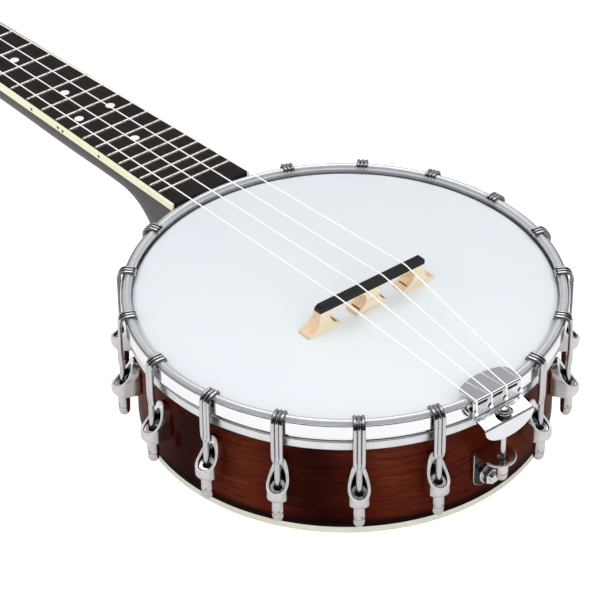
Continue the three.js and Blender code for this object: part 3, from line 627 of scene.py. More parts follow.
# stretched skin over the rim's bearing edge, its aluminium ring below the hoop
g = Geo()
so, si = RIM_R + 0.75, RIM_R + 0.4
top = [(0, HEAD_Z)] + [(r, HEAD_Z) for r in (20, 50, 80, 95)] + arc(RIM_R - 2.25, HEAD_Z - 3.0, 3.0, 90, 0, 8)
under = arc(RIM_R - 2.25, HEAD_Z - 3.0, 2.65, 0, 90, 8) + [(r, HEAD_Z - 0.35) for r in (95, 80, 50, 20, 0)]
g.add(lathe(top + [(so, H - 12), (si, H - 12)] + under, SEG))
g.add(lathe(rounded([(so + 0.02, H - 11), (RIM_R + 4.1, H - 11), (RIM_R + 4.1, H - 16), (RIM_R + 0.35, H - 16), (RIM_R + 0.35, H - 12.2), (so + 0.02, H - 12.2)], [0.3, 0.7, 0.9, 0.3, 0, 0], 4), SEG, True), 1)
build("drum_head_visual", g, [SKIN, ALU], ["drum_head"], sharp=40)

# tension hoop: satin bead inside a bright apron with a groove between them
g = Geo()
bz = H - 1.0
bead = arc(104.2, bz, 2.0, -40, 215, 26)
body_ = [(103.2, H - 10.6), (104.5, H - 10.6), (104.5, H - 7.9), (107.3, H - 7.9), (107.3, H - 0.9), (107.0, H - 0.5), (106.6, H - 0.5), (106.45, H - 3.4)]
body_r = rounded(body_ + [bead[0]], [0.2, 0.2, 0.1, 0.55, 0.25, 0.15, 0.2, 0.5, 0], 4, closed=False)
ring_ = body_r[:-1] + bead + [(103.2, H - 3.6)]
m_ = []
for j in range(len(ring_)):
    k = (j + 1) % len(ring_)
    m_ += [1 if len(body_r) - 2 <= j <= len(body_r) - 2 + len(bead) else 0] * SEG
g.add(lathe(ring_, SEG, True), m_)
build("tension_hoop_visual", g, [APRON, BEAD], ["tension_hoop"], sharp=30)


# ------------------------------------------------------------------ hooks and shoes
def hook_geo():
    g = Geo()
    st = []          # r, z, normal r, normal z, thickness, half width, lobe, ridge

    tip = H - 23.6

    def hw(z):       # half width of the strap, parallel down to its quickly rounded end
        q = max(0.0, min(1.0, (z - tip) / 2.6))
        return 1.75 + 1.15 * math.sqrt(max(0, 1 - (1 - q) ** 2))

    for z in np.concatenate([np.linspace(tip, tip + 3.2, 9), np.linspace(tip + 4, H - 2.4, 10)]):
        q = min(1, max(0, (z - tip) / 4.6))
        st.append((108.9 - 0.9 * (1 - q), z, 1, 0, 1.2 + 1.6 * (1 - q) ** 1.2, hw(z), 0, 0.35 + 0.65 * q))
    for a in np.linspace(0, 90, 13)[1:]:
        q = a / 90
        st.append((105.4 + 3.5 * cos(rad(a)), H - 2.4 + 3.5 * sin(rad(a)), cos(rad(a)), sin(rad(a)), 1.2 - 0.3 * q, 2.9 - 0.05 * q, q, 1 - 0.15 * q))
    for r in (104.8, 104.2, 103.6, 103.1):
        st.append((r, H + 1.1, 0, 1, 0.88, 2.85, 1, 0.85))
    for a in np.linspace(90, 180, 9)[1:]:
        st.append((103.0 + 1.05 * cos(rad(a)), H + 0.05 + 1.05 * sin(rad(a)), cos(rad(a)), sin(rad(a)), 0.88 - 0.05 * (a - 90) / 90, 2.85, 1, 0.8))
    st.append((101.95, H - 0.35, -1, 0, 0.78, 2.8, 1, 0.75))
    secs = []
    S = [-1, -0.985, -0.94, -0.87, -0.76, -0.64, -0.52, -0.42, -0.35, -0.29, -0.22, -0.15, -0.08, 0]
    S = S + [-s for s in S[:-1][::-1]]
    for (r, z, nr, nz, t, w, lobe, ridge) in st:
        e, ring = 0.42, []
        for s in S:
            y = s * w
            h = t
            d = abs(y) - (w - e)
            if d > 0:
                h = t - e + math.sqrt(max(0, e * e - d * d))
            gy = 0.98 * (0.3 + 0.7 * min(1, max(0, (ridge - 0.35) / 0.4)))
            h += 0.30 * ridge * math.exp(-(y / 0.40) ** 2) - 0.55 * ridge * math.exp(-((abs(y) - gy) / 0.30) ** 2)
            h += 0.30 * lobe * math.exp(-((abs(y) - 1.85) / 0.62) ** 2)
            if t > 1.25:          # the bullet end is round across
                h -= (t - 1.2) * 0.75 * (abs(s) ** 2.2)
            h = max(0.12, h)
            ring.append((r + nr * h, y, z + nz * h))
        for s in (0.96, 0.6, 0, -0.6, -0.96):
            ring.append((r - nr * (0.0 if abs(s) > 0.9 else 0.06), s * w, z - nz * (0.0 if abs(s) > 0.9 else 0.06)))
        secs.append(ring)
    np_ = len(S) + 5
    # the strap's outer edges, its two grooves and its underside take the darker chrome: painted shade
    face = [3 if (j in (0, 1, len(S) - 3, len(S) - 2) or 0.26 < abs(S[j] + S[j + 1]) / 2 < 0.40) else 0 for j in range(len(S) - 1)] + [3] * 6
    g.add(loft(secs), face * (len(secs) - 1) + [0, 0])
    # threaded rod below the strap
    g.add(lathe([(0, H - 51), (ROD_r, H - 51), (ROD_r, H - 22.9), (1.3, H - 22.6), (0, H - 22.6)], 24), 0, T_(ROD_R, 0, 0))
    # round nut: drum, groove, domed end
    nut = [(0, H - 44.2), (2.5, H - 44.2), (2.9, H - 44.6), (2.9, H - 51.05), (2.72, H - 51.25), (2.42, H - 51.35), (2.42, H - 51.75), (2.75, H - 51.9), (2.8, H - 52.2), (2.78, H - 53.7)]
    nut += arc(0, H - 53.9, 2.74, 0, -66, 7, 3.1)[1:] + [(0.9, H - 56.78), (0.55, H - 56.5), (0, H - 56.5)]
    g.add(lathe(nut, 40), 1, T_(ROD_R, 0, 0))
    for a in (25, 115, 205, 295):      # small cross holes above the groove, drawn as black discs: painted shade for the holes
        M = T_(ROD_R, 0, H - 50.1) @ Rz(a) @ M_x(2.55)
        g.add(lathe([(0, 0), (0.42, 0), (0.42, 0.36), (0, 0.36)], 12), 2, M)
    return g


def lip_z(x):
    return H + float(np.interp(x, X_, Z_))


X_ = [103.7, 104.25, 104.9, 105.6, 106.4, 107.4, 108.6, 110, 111.6, 113.3, 115.2]
Z_ = [-24.1, -24.8, -26.8, -28.9, -30.9, -32.7, -34.3, -35.6, -36.8, -37.6, -38.3]


def shoe_geo():
    g = Geo()
    c, n = 109.4, 72
    ao, bo, ai, bi = 5.7, 5.2, 4.3, 3.85
    zb, zf = H - 43.9, H - 37.6
    ctr = np.array((c - 1.0, 0.0))
    phi = [2 * pi * i / n for i in range(n)]

    def ell(p, a, b):
        return np.array((c + a * cos(p), b * sin(p)))

    def dee(p):
        if cos(p) >= 0:
            return ell(p, ao, bo)
        s = 1 if sin(p) >= 0 else -1
        u = (math.acos(max(-1, min(1, cos(p)))) - pi / 2) / (pi / 2)
        if u < 0.68:
            q = u / 0.68
            return np.array((c - (c - 101.75) * q, s * (bo - 0.5 * q ** 1.5)))
        y = s * (bo - 0.5) * (1 - (u - 0.68) / 0.32)
        return np.array((math.sqrt(101.36 ** 2 - y * y), y))

    rings = []
    top_o = []
    for p in phi:
        e = ell(p, ao, bo)
        top_o.append(lip_z(e[0]))
    # underside and its rounded edge
    for k in range(7):
        a, ring = rad(90 * k / 6), []
        for p in phi:
            rr = 0.55 + 2.5 * max(0, cos(p)) ** 1.3
            o = dee(p)
            d = o - ctr
            L = np.linalg.norm(d)
            q = ctr + d * (1 - rr * (1 - sin(a)) / L)
            ring.append((q[0], q[1], zb + rr * (1 - cos(a))))
        rings.append(ring)
    # outer wall up to the lip; the block against the rim keeps the pointed outline of the cup
    for k in range(1, 19):
        t, ring = k / 18, []
        for i, p in enumerate(phi):
            rr = 0.55 + 2.5 * max(0, cos(p)) ** 1.3
            z0, z1 = zb + rr, top_o[i] - 0.3
            z = z0 + (z1 - z0) * t
            q = dee(p)
            xi = float(np.interp(z - H, Z_[::-1], X_[::-1]))
            wide = bo * math.sqrt(max(0.0, 1 - ((min(xi, c) - c) / ao) ** 2))
            q = np.array((q[0], math.copysign(min(abs(q[1]), wide), q[1])))
            w = max(0.0, (t - 0.9) / 0.1) ** 2
            q = q * (1 - w) + ell(p, ao, bo) * w
            ring.append((q[0], q[1], z))
        rings.append(ring)
    # rounded lip
    for k in range(1, 6):
        f, ring = k / 6, []
        for p in phi:
            a_, b_ = ao + (ai - ao) * f, bo + (bi - bo) * f
            q = ell(p, a_, b_)
            ring.append((q[0], q[1], lip_z(q[0]) + 0.0 - 0.3 + 0.42 * math.sin(pi * f) ** 0.7 * 0.8))
        rings.append(ring)
    for t in (0, 0.15, 0.35, 0.6, 0.8, 0.93, 1.0):
        ring = []
        for p in phi:
            q = ell(p, ai, bi)
            z1 = lip_z(q[0]) - 0.3
            ring.append((q[0], q[1], z1 + (zf + 0.3 - 0.36 * ai * cos(p) - z1) * t))
        rings.append(ring)
    for f, dz in ((0.93, 0.12), (0.82, 0), (0.45, 0)):
        rings.append([(*(np.array((c, 0)) + (ell(p, ai, bi) - np.array((c, 0))) * f), zf + dz - 0.36 * ai * f * cos(p)) for p in phi])
    lip_rows = range(7 + 18 - 1, 7 + 18 + 5)
    # painted shade: the hollow's inner walls take the darkened chrome (the lip rows take the satin)
    g.add(loft(rings), [3 if (k // n) in lip_rows else (4 if (k // n) >= 7 + 18 + 5 and (k // n) < len(rings) - 3 else 0) for k in range(n * (len(rings) - 1))] + [0, 0])
    # black disc round the rod on the hollow's floor: painted shade where the rod goes into its hole
    g.add(lathe([(0, -0.05), (2.1, -0.05), (2.1, 0.1), (0, 0.1)], 24), 2, T_(ROD_R, 0, zf + 0.03) @ Matrix.Rotation(math.atan(0.36), 4, "Y"))
    # rim bolt inside the pot: washer and hexagon head
    r_in = RIM_R - RIM_T
    g.add(lathe(rounded([(0, -1.25), (4.6, -1.25), (4.6, -0.1), (0, -0.1)], [0, 0.3, 0.3, 0], 3, False), 40), 1, M_x(r_in, 0, BOLT_Z))
    hexo = [(3.4 * cos(rad(60 * i)), 3.4 * sin(rad(60 * i))) for i in range(6)]
    g.add(prism(rounded(hexo, 0.3, 2), -3.9, -1.2, 0.45, 3), 1, M_x(r_in, 0, BOLT_Z))
    return g


hook_me = mesh_of("hook_mesh", hook_geo(), [CHROME, CAST, INLAY_AND_SHADE_BLACK, CHROME_PAINTED_SHADE], sharp=34, shift=False)
shoe_me = mesh_of("shoe_mesh", shoe_geo(), [CAST, NICKEL, INLAY_AND_SHADE_BLACK, LIP, SHOE_HOLLOW_SHADE], sharp=38, shift=False)
for i, d in enumerate([*HOOK_DEG, *[-a for a in HOOK_DEG[::-1]]]):
    Mw = T_(SX * MM, 0, 0) @ Rz(d)
    place(f"hook_{i + 1:02d}_visual", hook_me, "frame", [f"hook_{i + 1:02d}"], Mw)
    place(f"shoe_{i + 1:02d}_visual", shoe_me, "frame", [f"shoe_{i + 1:02d}"], Mw)


# ------------------------------------------------------------------ neck
def board_z(x):
    return H + 1.5 + SLOPE * (x - 118.5)


def half_w(x):
    return HALF_20 + (HALF_NUT - HALF_20) * (x - 118.5) / (X_NUT - 118.5)


TILT = math.atan(-SLOPE)
HX, HZ = X_NUT + 5, board_z(X_NUT + 5) - BOARD_T
HEAD_M = T_(HX, 0, HZ) @ Matrix.Rotation(rad(HEAD_DEG), 4, "Y")
outline_half = [(-4, 17.2), (4, 18.2), (12, 22), (20, 27.2), (28, 30.2), (44, 31.4), (62, 32.6), (80, 34.2), (92, 35.6), (98, 35.2), (103, 32.4), (108, 27.5), (114, 22), (120, 14.5), (124, 6.5)]

stations = [(96, 56.6, 0.55), (102, 56.4, 0.5), (112, 55.4, 0.4), (118, 53.4, 0.3), (124, 47.5, 0.2), (128, 40.5, 0.2), (132, 32.5, 0.2), (136, 26.2, 0.2), (140, 21.6, 0.2), (146, 17.6, 0.2), (154, 15.4, 0.2), (172, 15, 0.2), (192, 15.6, 0.2), (216, 15.4, 0.2), (260, 14.4, 0.2), (X_NUT - 30, 13.8, 0.3), (X_NUT - 8, 14.6, 0.3), (X_NUT + 5, 15.5, 0.5)]
g = Geo()
secs = []
for x, depth, sq in spline(stations, 7):
    w, top = half_w(x) + BIND, board_z(x) - BOARD_T
    ring, k, e = [(x, w - 0.15, top), (x, w, top - 0.3)], 40, 2 / (2 + sq)
    for i in range(k + 1):
        a = pi * i / k
        c_, s_ = cos(a), sin(a)
        ring.append((x, w * (1 if c_ >= 0 else -1) * abs(c_) ** e, top - 2 - (depth - 2) * max(0, s_) ** e))
    ring += [(x, -w, top - 0.3), (x, -w + 0.15, top)]
    secs.append(ring)
g.add(loft(secs))
neck = build("neck_visual", g, [NECK_WOOD], ["neck"], sharp=40)
c1, c2, c3, c4 = Geo(), Geo(), Geo(), Geo()
c1.add(lathe([(0, -9), (RIM_R + 0.2, -9), (RIM_R + 0.2, H + 20), (0, H + 20)], 256))
c2.add(lathe([(0, H - 16.5), (HOOP_OUT + 0.3, H - 16.5), (HOOP_OUT + 0.3, H + 20), (0, H + 20)], 256))
boolean(neck, [cutter(c1), cutter(c2)])

# headstock; the thin dark veneer edge of its face is not drawn
full = outline_half + [(125, 0)] + [(u, -v) for u, v in outline_half[::-1]]
full = [tuple(p) for p in spline(full, 4)]
g = Geo()
g.add(prism(full, -HEAD_T, 0, 1.0, 4), 0, HEAD_M)
head_ob = cutter(g)
c3.add((np.array([(x, y, z) for x in (X_NUT - 12, HX) for (y, z) in ((40, board_z(x) - BOARD_T + 12), (40, board_z(x) - BOARD_T), (-40, board_z(x) - BOARD_T), (-40, board_z(x) - BOARD_T + 12))]),
        [(0, 1, 2, 3), (7, 6, 5, 4), (0, 4, 5, 1), (1, 5, 6, 2), (2, 6, 7, 3), (3, 7, 4, 0)]))
boolean(head_ob, [cutter(c3)])
boolean(neck, [head_ob], "UNION")
for u, v in POSTS:
    for s in (1, -1):
        c4.add(lathe([(0, -HEAD_T - 4), (4.8, -HEAD_T - 4), (4.8, 4), (0, 4)], 40), 0, HEAD_M @ T_(u, s * v, 0))
boolean(neck, [cutter(c4)])
neck.data.materials.clear()
neck.data.materials.append(NECK_WOOD)
neck.data.polygons.foreach_set("material_index", np.zeros(len(neck.data.polygons), np.int32))
neck.data.shade_smooth()
neck.data.set_sharp_from_angle(angle=rad(34))

# fingerboard: dark wood between cream bindings, crowned frets, pearl and black dots
g = Geo()
R0 = HOOP_OUT + 0.35


def x_end(y):
    return math.sqrt(R0 ** 2 - y * y)


def board_slab(f0, f1, zt, zb_, r_out):
    """Slab between two lines across the board, f0 and f1 functions of x giving y; its pot end follows the hoop."""
    secs = []
    for t in np.linspace(0, 1, 30):
        ring = []
        for f, dz in ((f0, zb_), (f1, zb_), (f1, zt - r_out[1]), (f1, zt), (f0, zt), (f0, zt - r_out[0])):
            xe = x_end(f(104))
            x = xe + (X_NUT - 0.1 - xe) * t
            y = f(x)
            r = 0.0
            if dz == zt:
                r = r_out[1] if f is f1 else r_out[0]
                cy = (f0(x) + f1(x)) / 2
                y = y - math.copysign(r, y - cy)
            ring.append((x, y, board_z(x) + dz))
        secs.append(ring)
    return loft(secs)


g.add(board_slab(lambda x: -half_w(x), lambda x: half_w(x), 0, -BOARD_T + 0.02, (0.05, 0.05)), 0)
for s in (1, -1):
    g.add(board_slab(lambda x, s=s: s * (half_w(x) + 0.02), lambda x, s=s: s * (half_w(x) + BIND), 0.02, -BOARD_T + 0.02, (0.05, 0.35)), 1)
FX = [X_BRIDGE + SCALE * 2 ** (-n / 12) for n in range(1, FRETS + 1)]
for x in FX:
    w, z = half_w(x), board_z(x)
    M = T_(x, 0, z) @ Matrix.Rotation(TILT, 4, "Y")
    ring_of = lambda y, k: [(k * p[0], y, max(0.05, k * p[1]) if p[1] > 0 else p[1]) for p in [(-1.05, -0.4), (1.05, -0.4), (1.05, 0.12)] + [(0.98 * cos(rad(a)), 0.12 + 0.88 * sin(rad(a))) for a in range(15, 166, 15)] + [(-1.05, 0.12)]]
    g.add(loft([ring_of(-w + 0.3, 0.62), ring_of(-w + 0.9, 0.9), ring_of(-w + 1.4, 1), ring_of(0, 1), ring_of(w - 1.4, 1), ring_of(w - 0.9, 0.9), ring_of(w - 0.3, 0.62)]), 2, M)
FXX = [X_NUT] + FX


def dot(n, y, r=2.5):
    x = (FXX[n - 1] + FXX[n]) / 2
    M = T_(x, y, board_z(x)) @ Matrix.Rotation(TILT, 4, "Y")
    g.add(lathe([(0, -0.6), (r, -0.6), (r, 0.03), (r - 0.1, 0.07), (0, 0.07)], 32), 3, M)


for n in (3, 5, 7, 10, 15):
    dot(n, 0)
dot(12, 10), dot(12, -10)
for n in (3, 5, 7, 10, 12, 15):
    x = (FXX[n - 1] + FXX[n]) / 2
    for dx in ((-2.2, 2.2) if n == 12 else (0,)):
        for s in (1, -1):
            y = s * (half_w(x + dx) + BIND)
            M = T_(x + dx, y, board_z(x) - BOARD_T / 2 + 0.1) @ M_y(0, 0, 0, s)
            g.add(lathe([(0, -0.5), (0.85, -0.5), (0.85, 0.03), (0, 0.05)], 20), 4, M)
build("fretboard_visual", g, [BOARD_WOOD, BINDING, FRET, PEARL, INLAY_AND_SHADE_BLACK], ["fretboard"], sharp=30)

# ------------------------------------------------------------------ bridge: upright towards the tail, sloping towards the neck
BR_TOP = H + 13.4
bf, bb = X_BRIDGE + 0.3, X_BRIDGE + 0.3 - 3.4
bh = BR_TOP - HEAD_Z


def bridge_face(t, z):
    """x of a point t of the way from the tail face to the neck face, at height z."""
    k = (BR_TOP - z) / bh
    return bb + 0.1 * k + (bf + 4.8 * min(1.0, k * 1.12) - bb - 0.1 * k) * t


def bridge_mesh():
    g = Geo()
    cap_h = 4.0
    # maple: three feet with long thin toes, wide arches right up to the cap, scooped ends
    key = [(9.4, 0), (9.7, 0.9), (8.9, 1.8), (6.9, 3.0), (5.0, 4.8), (4.0, 7.2), (4.4, 9.6), (6.2, 11.1), (9, 11.4), (21.5, 11.4), (24.2, 11.0), (25.7, 9.6), (25.9, 7.2), (24.6, 4.8), (22.4, 3.0), (20.0, 1.8), (19.1, 0.9), (19.4, 0)]
    key = [tuple(p) for p in spline(key, 4)]
    right = key + [(38.2, 0), (38.8, 0.6), (38.5, 1.5), (36.4, 2.1), (34.3, 3.2), (32.8, 5.2), (32.1, 8.0), (31.9, 10.0), (32.0, bh - cap_h)]
    pts = right + [(-y, z) for y, z in right[::-1]]
    prof = [(y, z + HEAD_Z + 0.02) for y, z in pts]
    V, F = prism(prof, 0, 1, 0)
    # thickness runs from the tail side (t=0) to the neck side (t=1), thinner towards the top
    W = []
    for y, z, t in V:
        W.append((bridge_face(t, z), y, z))
    # the side faces take the darker maple (end grain and painted shade), the tail and neck faces the plain maple
    g.add((np.array(W), F), [3] * len(prof) + [0] * (len(F) - len(prof)))
    # ebony cap
    o = rounded([(-32.1, bh - cap_h), (32.1, bh - cap_h), (32.3, bh - 1.7), (30.9, bh), (-30.9, bh), (-32.3, bh - 1.7)], [0.1, 0.1, 0.4, 0.5, 0.5, 0.4], 3)
    V, F = prism([(y, z + HEAD_Z) for y, z in o], 0, 1, 0.0, 3)
    g.add((np.array([(bridge_face(t, z), y, z) for y, z, t in V]), F), 1)
    # thin brown lines across the toes
    for y, z in ((7.4, 2.75), (21.9, 2.75)):
        for sy in (1, -1):
            zz = z + HEAD_Z
            g.add(sweep([(bridge_face(0.14, zz), sy * y, zz), (bridge_face(0.80, zz), sy * y, zz)], 0.34, 10), 2)
    return g


bridge = build("bridge_visual", bridge_mesh(), [MAPLE, EBONY, TOE_LINE_BROWN, MAPLE_FLANK_GRAIN_SHADE], ["bridge"], sharp=30)
slots = Geo()
for q in (1.5, 0.5, -0.5, -1.5):
    y = q * STR_BRIDGE
    slots.add((np.array([(x, y + dy, z) for x in (bb - 3, bf + 3) for dy, z in ((-0.42, BR_TOP + 1), (0.42, BR_TOP + 1), (0.3, BR_TOP - 0.2), (-0.3, BR_TOP - 0.2))]),
               [(0, 1, 2, 3), (7, 6, 5, 4), (0, 4, 5, 1), (1, 5, 6, 2), (2, 6, 7, 3), (3, 7, 4, 0)]))
boolean(bridge, [cutter(slots)])
bridge.data.shade_smooth()
bridge.data.set_sharp_from_angle(angle=rad(30))

# ------------------------------------------------------------------ tailpiece
TPX, TP_T = -107.55, 0.95
TP_TOP, SHELF_Z, FLAP_X, FLAP_Z = H + 2.15, H - 7.3, -117.4, H - 9.6
BOLT_X = -113.1
g = Geo()
top = [(-101, -14.9), (-98.6, -14.4), (-96.3, -12.4), (-94.8, -8.6), (-94, -4.6), (-93.8, -0.4), (-94, 4.4), (-95, 8.8), (-96.8, 13.3), (-98.4, 14.4)]
top = [(TPX - TP_T + 0.5, -14.3)] + [tuple(p) for p in spline(top, 4)] + [(TPX - TP_T + 0.5, 14.3)]
g.add(prism(top, TP_TOP - 0.9, TP_TOP, 0.3, 3))
# rolled back edge
g.add(sweep([(TPX - TP_T + 0.2, y, TP_TOP - 0.72) for y in np.linspace(-14.2, 14.2, 8)], 0.95, 18))
# wall with its three windows, and the round holes of the strings
wins = [rounded([(a, H - 1.5), (b, H - 1.5), (b, H + 0.6), (a, H + 0.6)], 0.35, 3) for a, b in ((-12.3, -5.9), (-3.3, 3.3), (5.9, 12.3))]
holes = [arc(q * STR_TAIL, H - 4.5, 1.25, 0, 345, 23) for q in (-1.5, -0.5, 0.5, 1.5)]
wall = rounded([(-14.3, SHELF_Z - 0.4), (14.3, SHELF_Z - 0.4), (14.3, TP_TOP - 0.2), (-14.3, TP_TOP - 0.2)], 0.2, 2)
g.add(prism(wall, TPX - TP_T, TPX, 0.12, 2, wins + holes), 1, M_yz())
# black plates just behind the windows and the string holes: painted shade seen through them
for a_, b_ in ((-12.6, -5.6), (-3.6, 3.6), (5.6, 12.6)):
    g.add(prism([(a_, H - 1.8), (b_, H - 1.8), (b_, H + 0.9), (a_, H + 0.9)], TPX - 0.35, TPX - 0.05, 0), 3, M_yz())
for q in (-1.5, -0.5, 0.5, 1.5):
    g.add(prism(arc(q * STR_TAIL, H - 4.5, 1.4, 0, 345, 23), TPX - 0.35, TPX - 0.05, 0), 3, M_yz())
# sloping shelf down to the flap
sl = math.atan2(FLAP_Z - SHELF_Z, FLAP_X - (TPX - TP_T))
shelf = [(TPX, SHELF_Z - 0.2), (TPX - TP_T - 0.15, SHELF_Z + 0.0), (FLAP_X + 0.2, FLAP_Z), (FLAP_X - 0.0, FLAP_Z - 0.35), (FLAP_X + 0.1, FLAP_Z - 0.9), (TPX, SHELF_Z - 1.1)]
g.add(prism(rounded(shelf, [0, 0.3, 0.5, 0.3, 0.1, 0], 4), -14.4, 14.4, 0.25, 3), 0, M_xz())
flap = [(-14.6, FLAP_Z - 0.2)] + arc(0, FLAP_Z - 1.0, 14.8, 180, 360, 40, 8.6) + [(14.6, FLAP_Z - 0.2)]
g.add(prism(rounded(flap, [0.4] + [0] * (len(flap) - 2) + [0.4], 3), FLAP_X - 0.05, FLAP_X + TP_T - 0.05, 0.3, 3), 0, M_yz())
# darker chrome strips along the shelf's and the flap's folds: painted shade in the creases
g.add(sweep([(TPX - TP_T - 0.12, y, SHELF_Z + 0.12) for y in np.linspace(-14.1, 14.1, 8)], 0.2, 10), 2)
g.add(sweep([(FLAP_X + 0.62, y, FLAP_Z + 0.16) for y in np.linspace(-14.1, 14.1, 8)], 0.26, 10), 2)
tail = build("tailpiece_visual", g, [PLATE, WALL, CHROME_PAINTED_SHADE, INLAY_AND_SHADE_BLACK], ["tailpiece"], sharp=34)

# bracket, bolt and coordinator rod
BR_X, BR_T, TONGUE_Z = -(RIM_R + 0.35), 1.5, H - 34.4
g = Geo()
po = [(-8.2, TONGUE_Z - 0.1), (-8.2, H - 51)] + arc(0, H - 51, 8.2, 180, 360, 24, 5)[1:] + [(8.2, TONGUE_Z - 0.1)]
hole = arc(0, ROD_Z, 3.0, 0, 345, 23)
pv, pf = prism(po, BR_X - BR_T, BR_X, 0.25, 3, [hole])
# faces that barely change in height take the near-black chrome: painted shade
g.add((pv, pf), [1 if max(pv[i][2] for i in f) - min(pv[i][2] for i in f) < 0.03 else 0 for f in pf], M_yz())
to = [(BR_X, -8.2), (BR_X, 8.2)] + arc(BOLT_X + 2.2, 0, 8.2, 90, 270, 32, 8.2)
g.add(prism(to, TONGUE_Z - BR_T, TONGUE_Z, 0.55, 4, [arc(BOLT_X, 0, 1.9, 0, 345, 23)]))
build("tail_bracket_visual", g, [CAST, BRACKET_PAINTED_SHADE], ["tail_bracket"], sharp=36)

g = Geo()
dome = [(0, SHELF_Z + 2.55)] + [(3.1 * sin(rad(a)), SHELF_Z + 0.9 + 1.65 * cos(rad(a))) for a in (15, 30, 45, 60, 75, 90)] + [(3.15, SHELF_Z + 0.3), (3.0, SHELF_Z + 0.1), (0, SHELF_Z + 0.1)]
g.add(lathe(dome, 40), 0, T_(BOLT_X, 0, 0))
g.add(lathe([(0, SHELF_Z + 0.15), (4.3, SHELF_Z - 0.35), (4.4, SHELF_Z - 0.2), (4.2, SHELF_Z + 0.25), (0, SHELF_Z + 0.5)], 40), 0, T_(BOLT_X, 0, 0))
g.add(lathe([(0, TONGUE_Z - 7), (ROD_r, TONGUE_Z - 7), (ROD_r, SHELF_Z + 1), (0, SHELF_Z + 1)], 24), 1, T_(BOLT_X, 0, 0))
nt_ = [(0, TONGUE_Z - BR_T - 0.1), (2.5, TONGUE_Z - BR_T - 0.1), (2.95, TONGUE_Z - BR_T - 0.5), (2.95, TONGUE_Z - 8.0), (2.6, TONGUE_Z - 8.3), (2.6, TONGUE_Z - 8.6), (2.85, TONGUE_Z - 8.8), (2.8, TONGUE_Z - 10.2)] + arc(0, TONGUE_Z - 10.3, 2.75, 0, -65, 7, 2.7)[1:] + [(0, TONGUE_Z - 12.85)]
g.add(lathe(nt_, 40), 1, T_(BOLT_X, 0, 0))
build("tail_bolt_visual", g, [CHROME, CAST], ["tail_bolt"], sharp=32)

g = Geo()
in_x, out_x = RIM_R - RIM_T - 0.3, RIM_R + 0.35 + BR_T + 0.05


def along_x(prof, x0, seg=48, mat=0):
    g.add(lathe([(r, x) for x, r in prof], seg), mat, M_x(x0, 0, ROD_Z))


along_x([(-in_x + 1.2, 0), (-in_x + 1.2, 3.9), (in_x - 1.2, 3.9), (in_x - 1.2, 0)], 0)
for s in (-1, 1):
    along_x([(s * (in_x - 1.4), 0), (s * (in_x - 1.4), 6.3), (s * (in_x - 1.25), 6.5), (s * (in_x - 0.15), 6.5), (s * in_x, 6.3), (s * in_x, 0)], 0)
along_x([(-out_x - 6.2, 0), (-out_x - 6.2, 2.1), (-out_x - 5.8, 2.55), (-in_x, 2.55), (-in_x, 0)], 0, 28)
along_x([(-out_x - 1.1, 0), (-out_x - 1.1, 5.0), (-out_x - 0.95, 5.2), (-out_x - 0.1, 5.2), (-out_x, 5.1), (-out_x, 0)], 0)
hexo = [(4.6 * cos(rad(60 * i)), 4.6 * sin(rad(60 * i))) for i in range(6)]
g.add(prism(rounded(hexo, 0.35, 2), -out_x - 4.7, -out_x - 1.1, 0.5, 3), 0, M_x(0, 0, ROD_Z))
along_x([(in_x - 1, 0), (in_x - 1, 3), (RIM_R + 10, 3), (RIM_R + 10, 0)], 0, 28)
build("coordinator_rod_visual", g, [NICKEL], ["coordinator_rod"], sharp=34)

# ------------------------------------------------------------------ string nut and strings
nut_w, nut_z = HALF_NUT + BIND - 0.1, board_z(X_NUT)
g = Geo()
side = rounded([(X_NUT, nut_z - BOARD_T + 0.05), (X_NUT + 4.6, nut_z - BOARD_T - 0.1), (X_NUT + 4.6, nut_z + 1.2), (X_NUT + 3, nut_z + 2.4), (X_NUT, nut_z + 2.7)], [0.1, 0.1, 0.6, 0.8, 0.3], 4)
g.add(prism(side, -nut_w, nut_w, 0.35, 3), 0, M_xz())
nut_ob = build("nut_visual", g, [BONE], ["nut"], sharp=30)

tuners = [(POSTS[0], 1), (POSTS[1], 1), (POSTS[1], -1), (POSTS[0], -1)]
POST_r = 3
over_nut = nut_z + 1.25
nut_cut = Geo()


def lerp(x, x0, y0, x1, y1):
    return y0 + (y1 - y0) * (x - x0) / (x1 - x0)


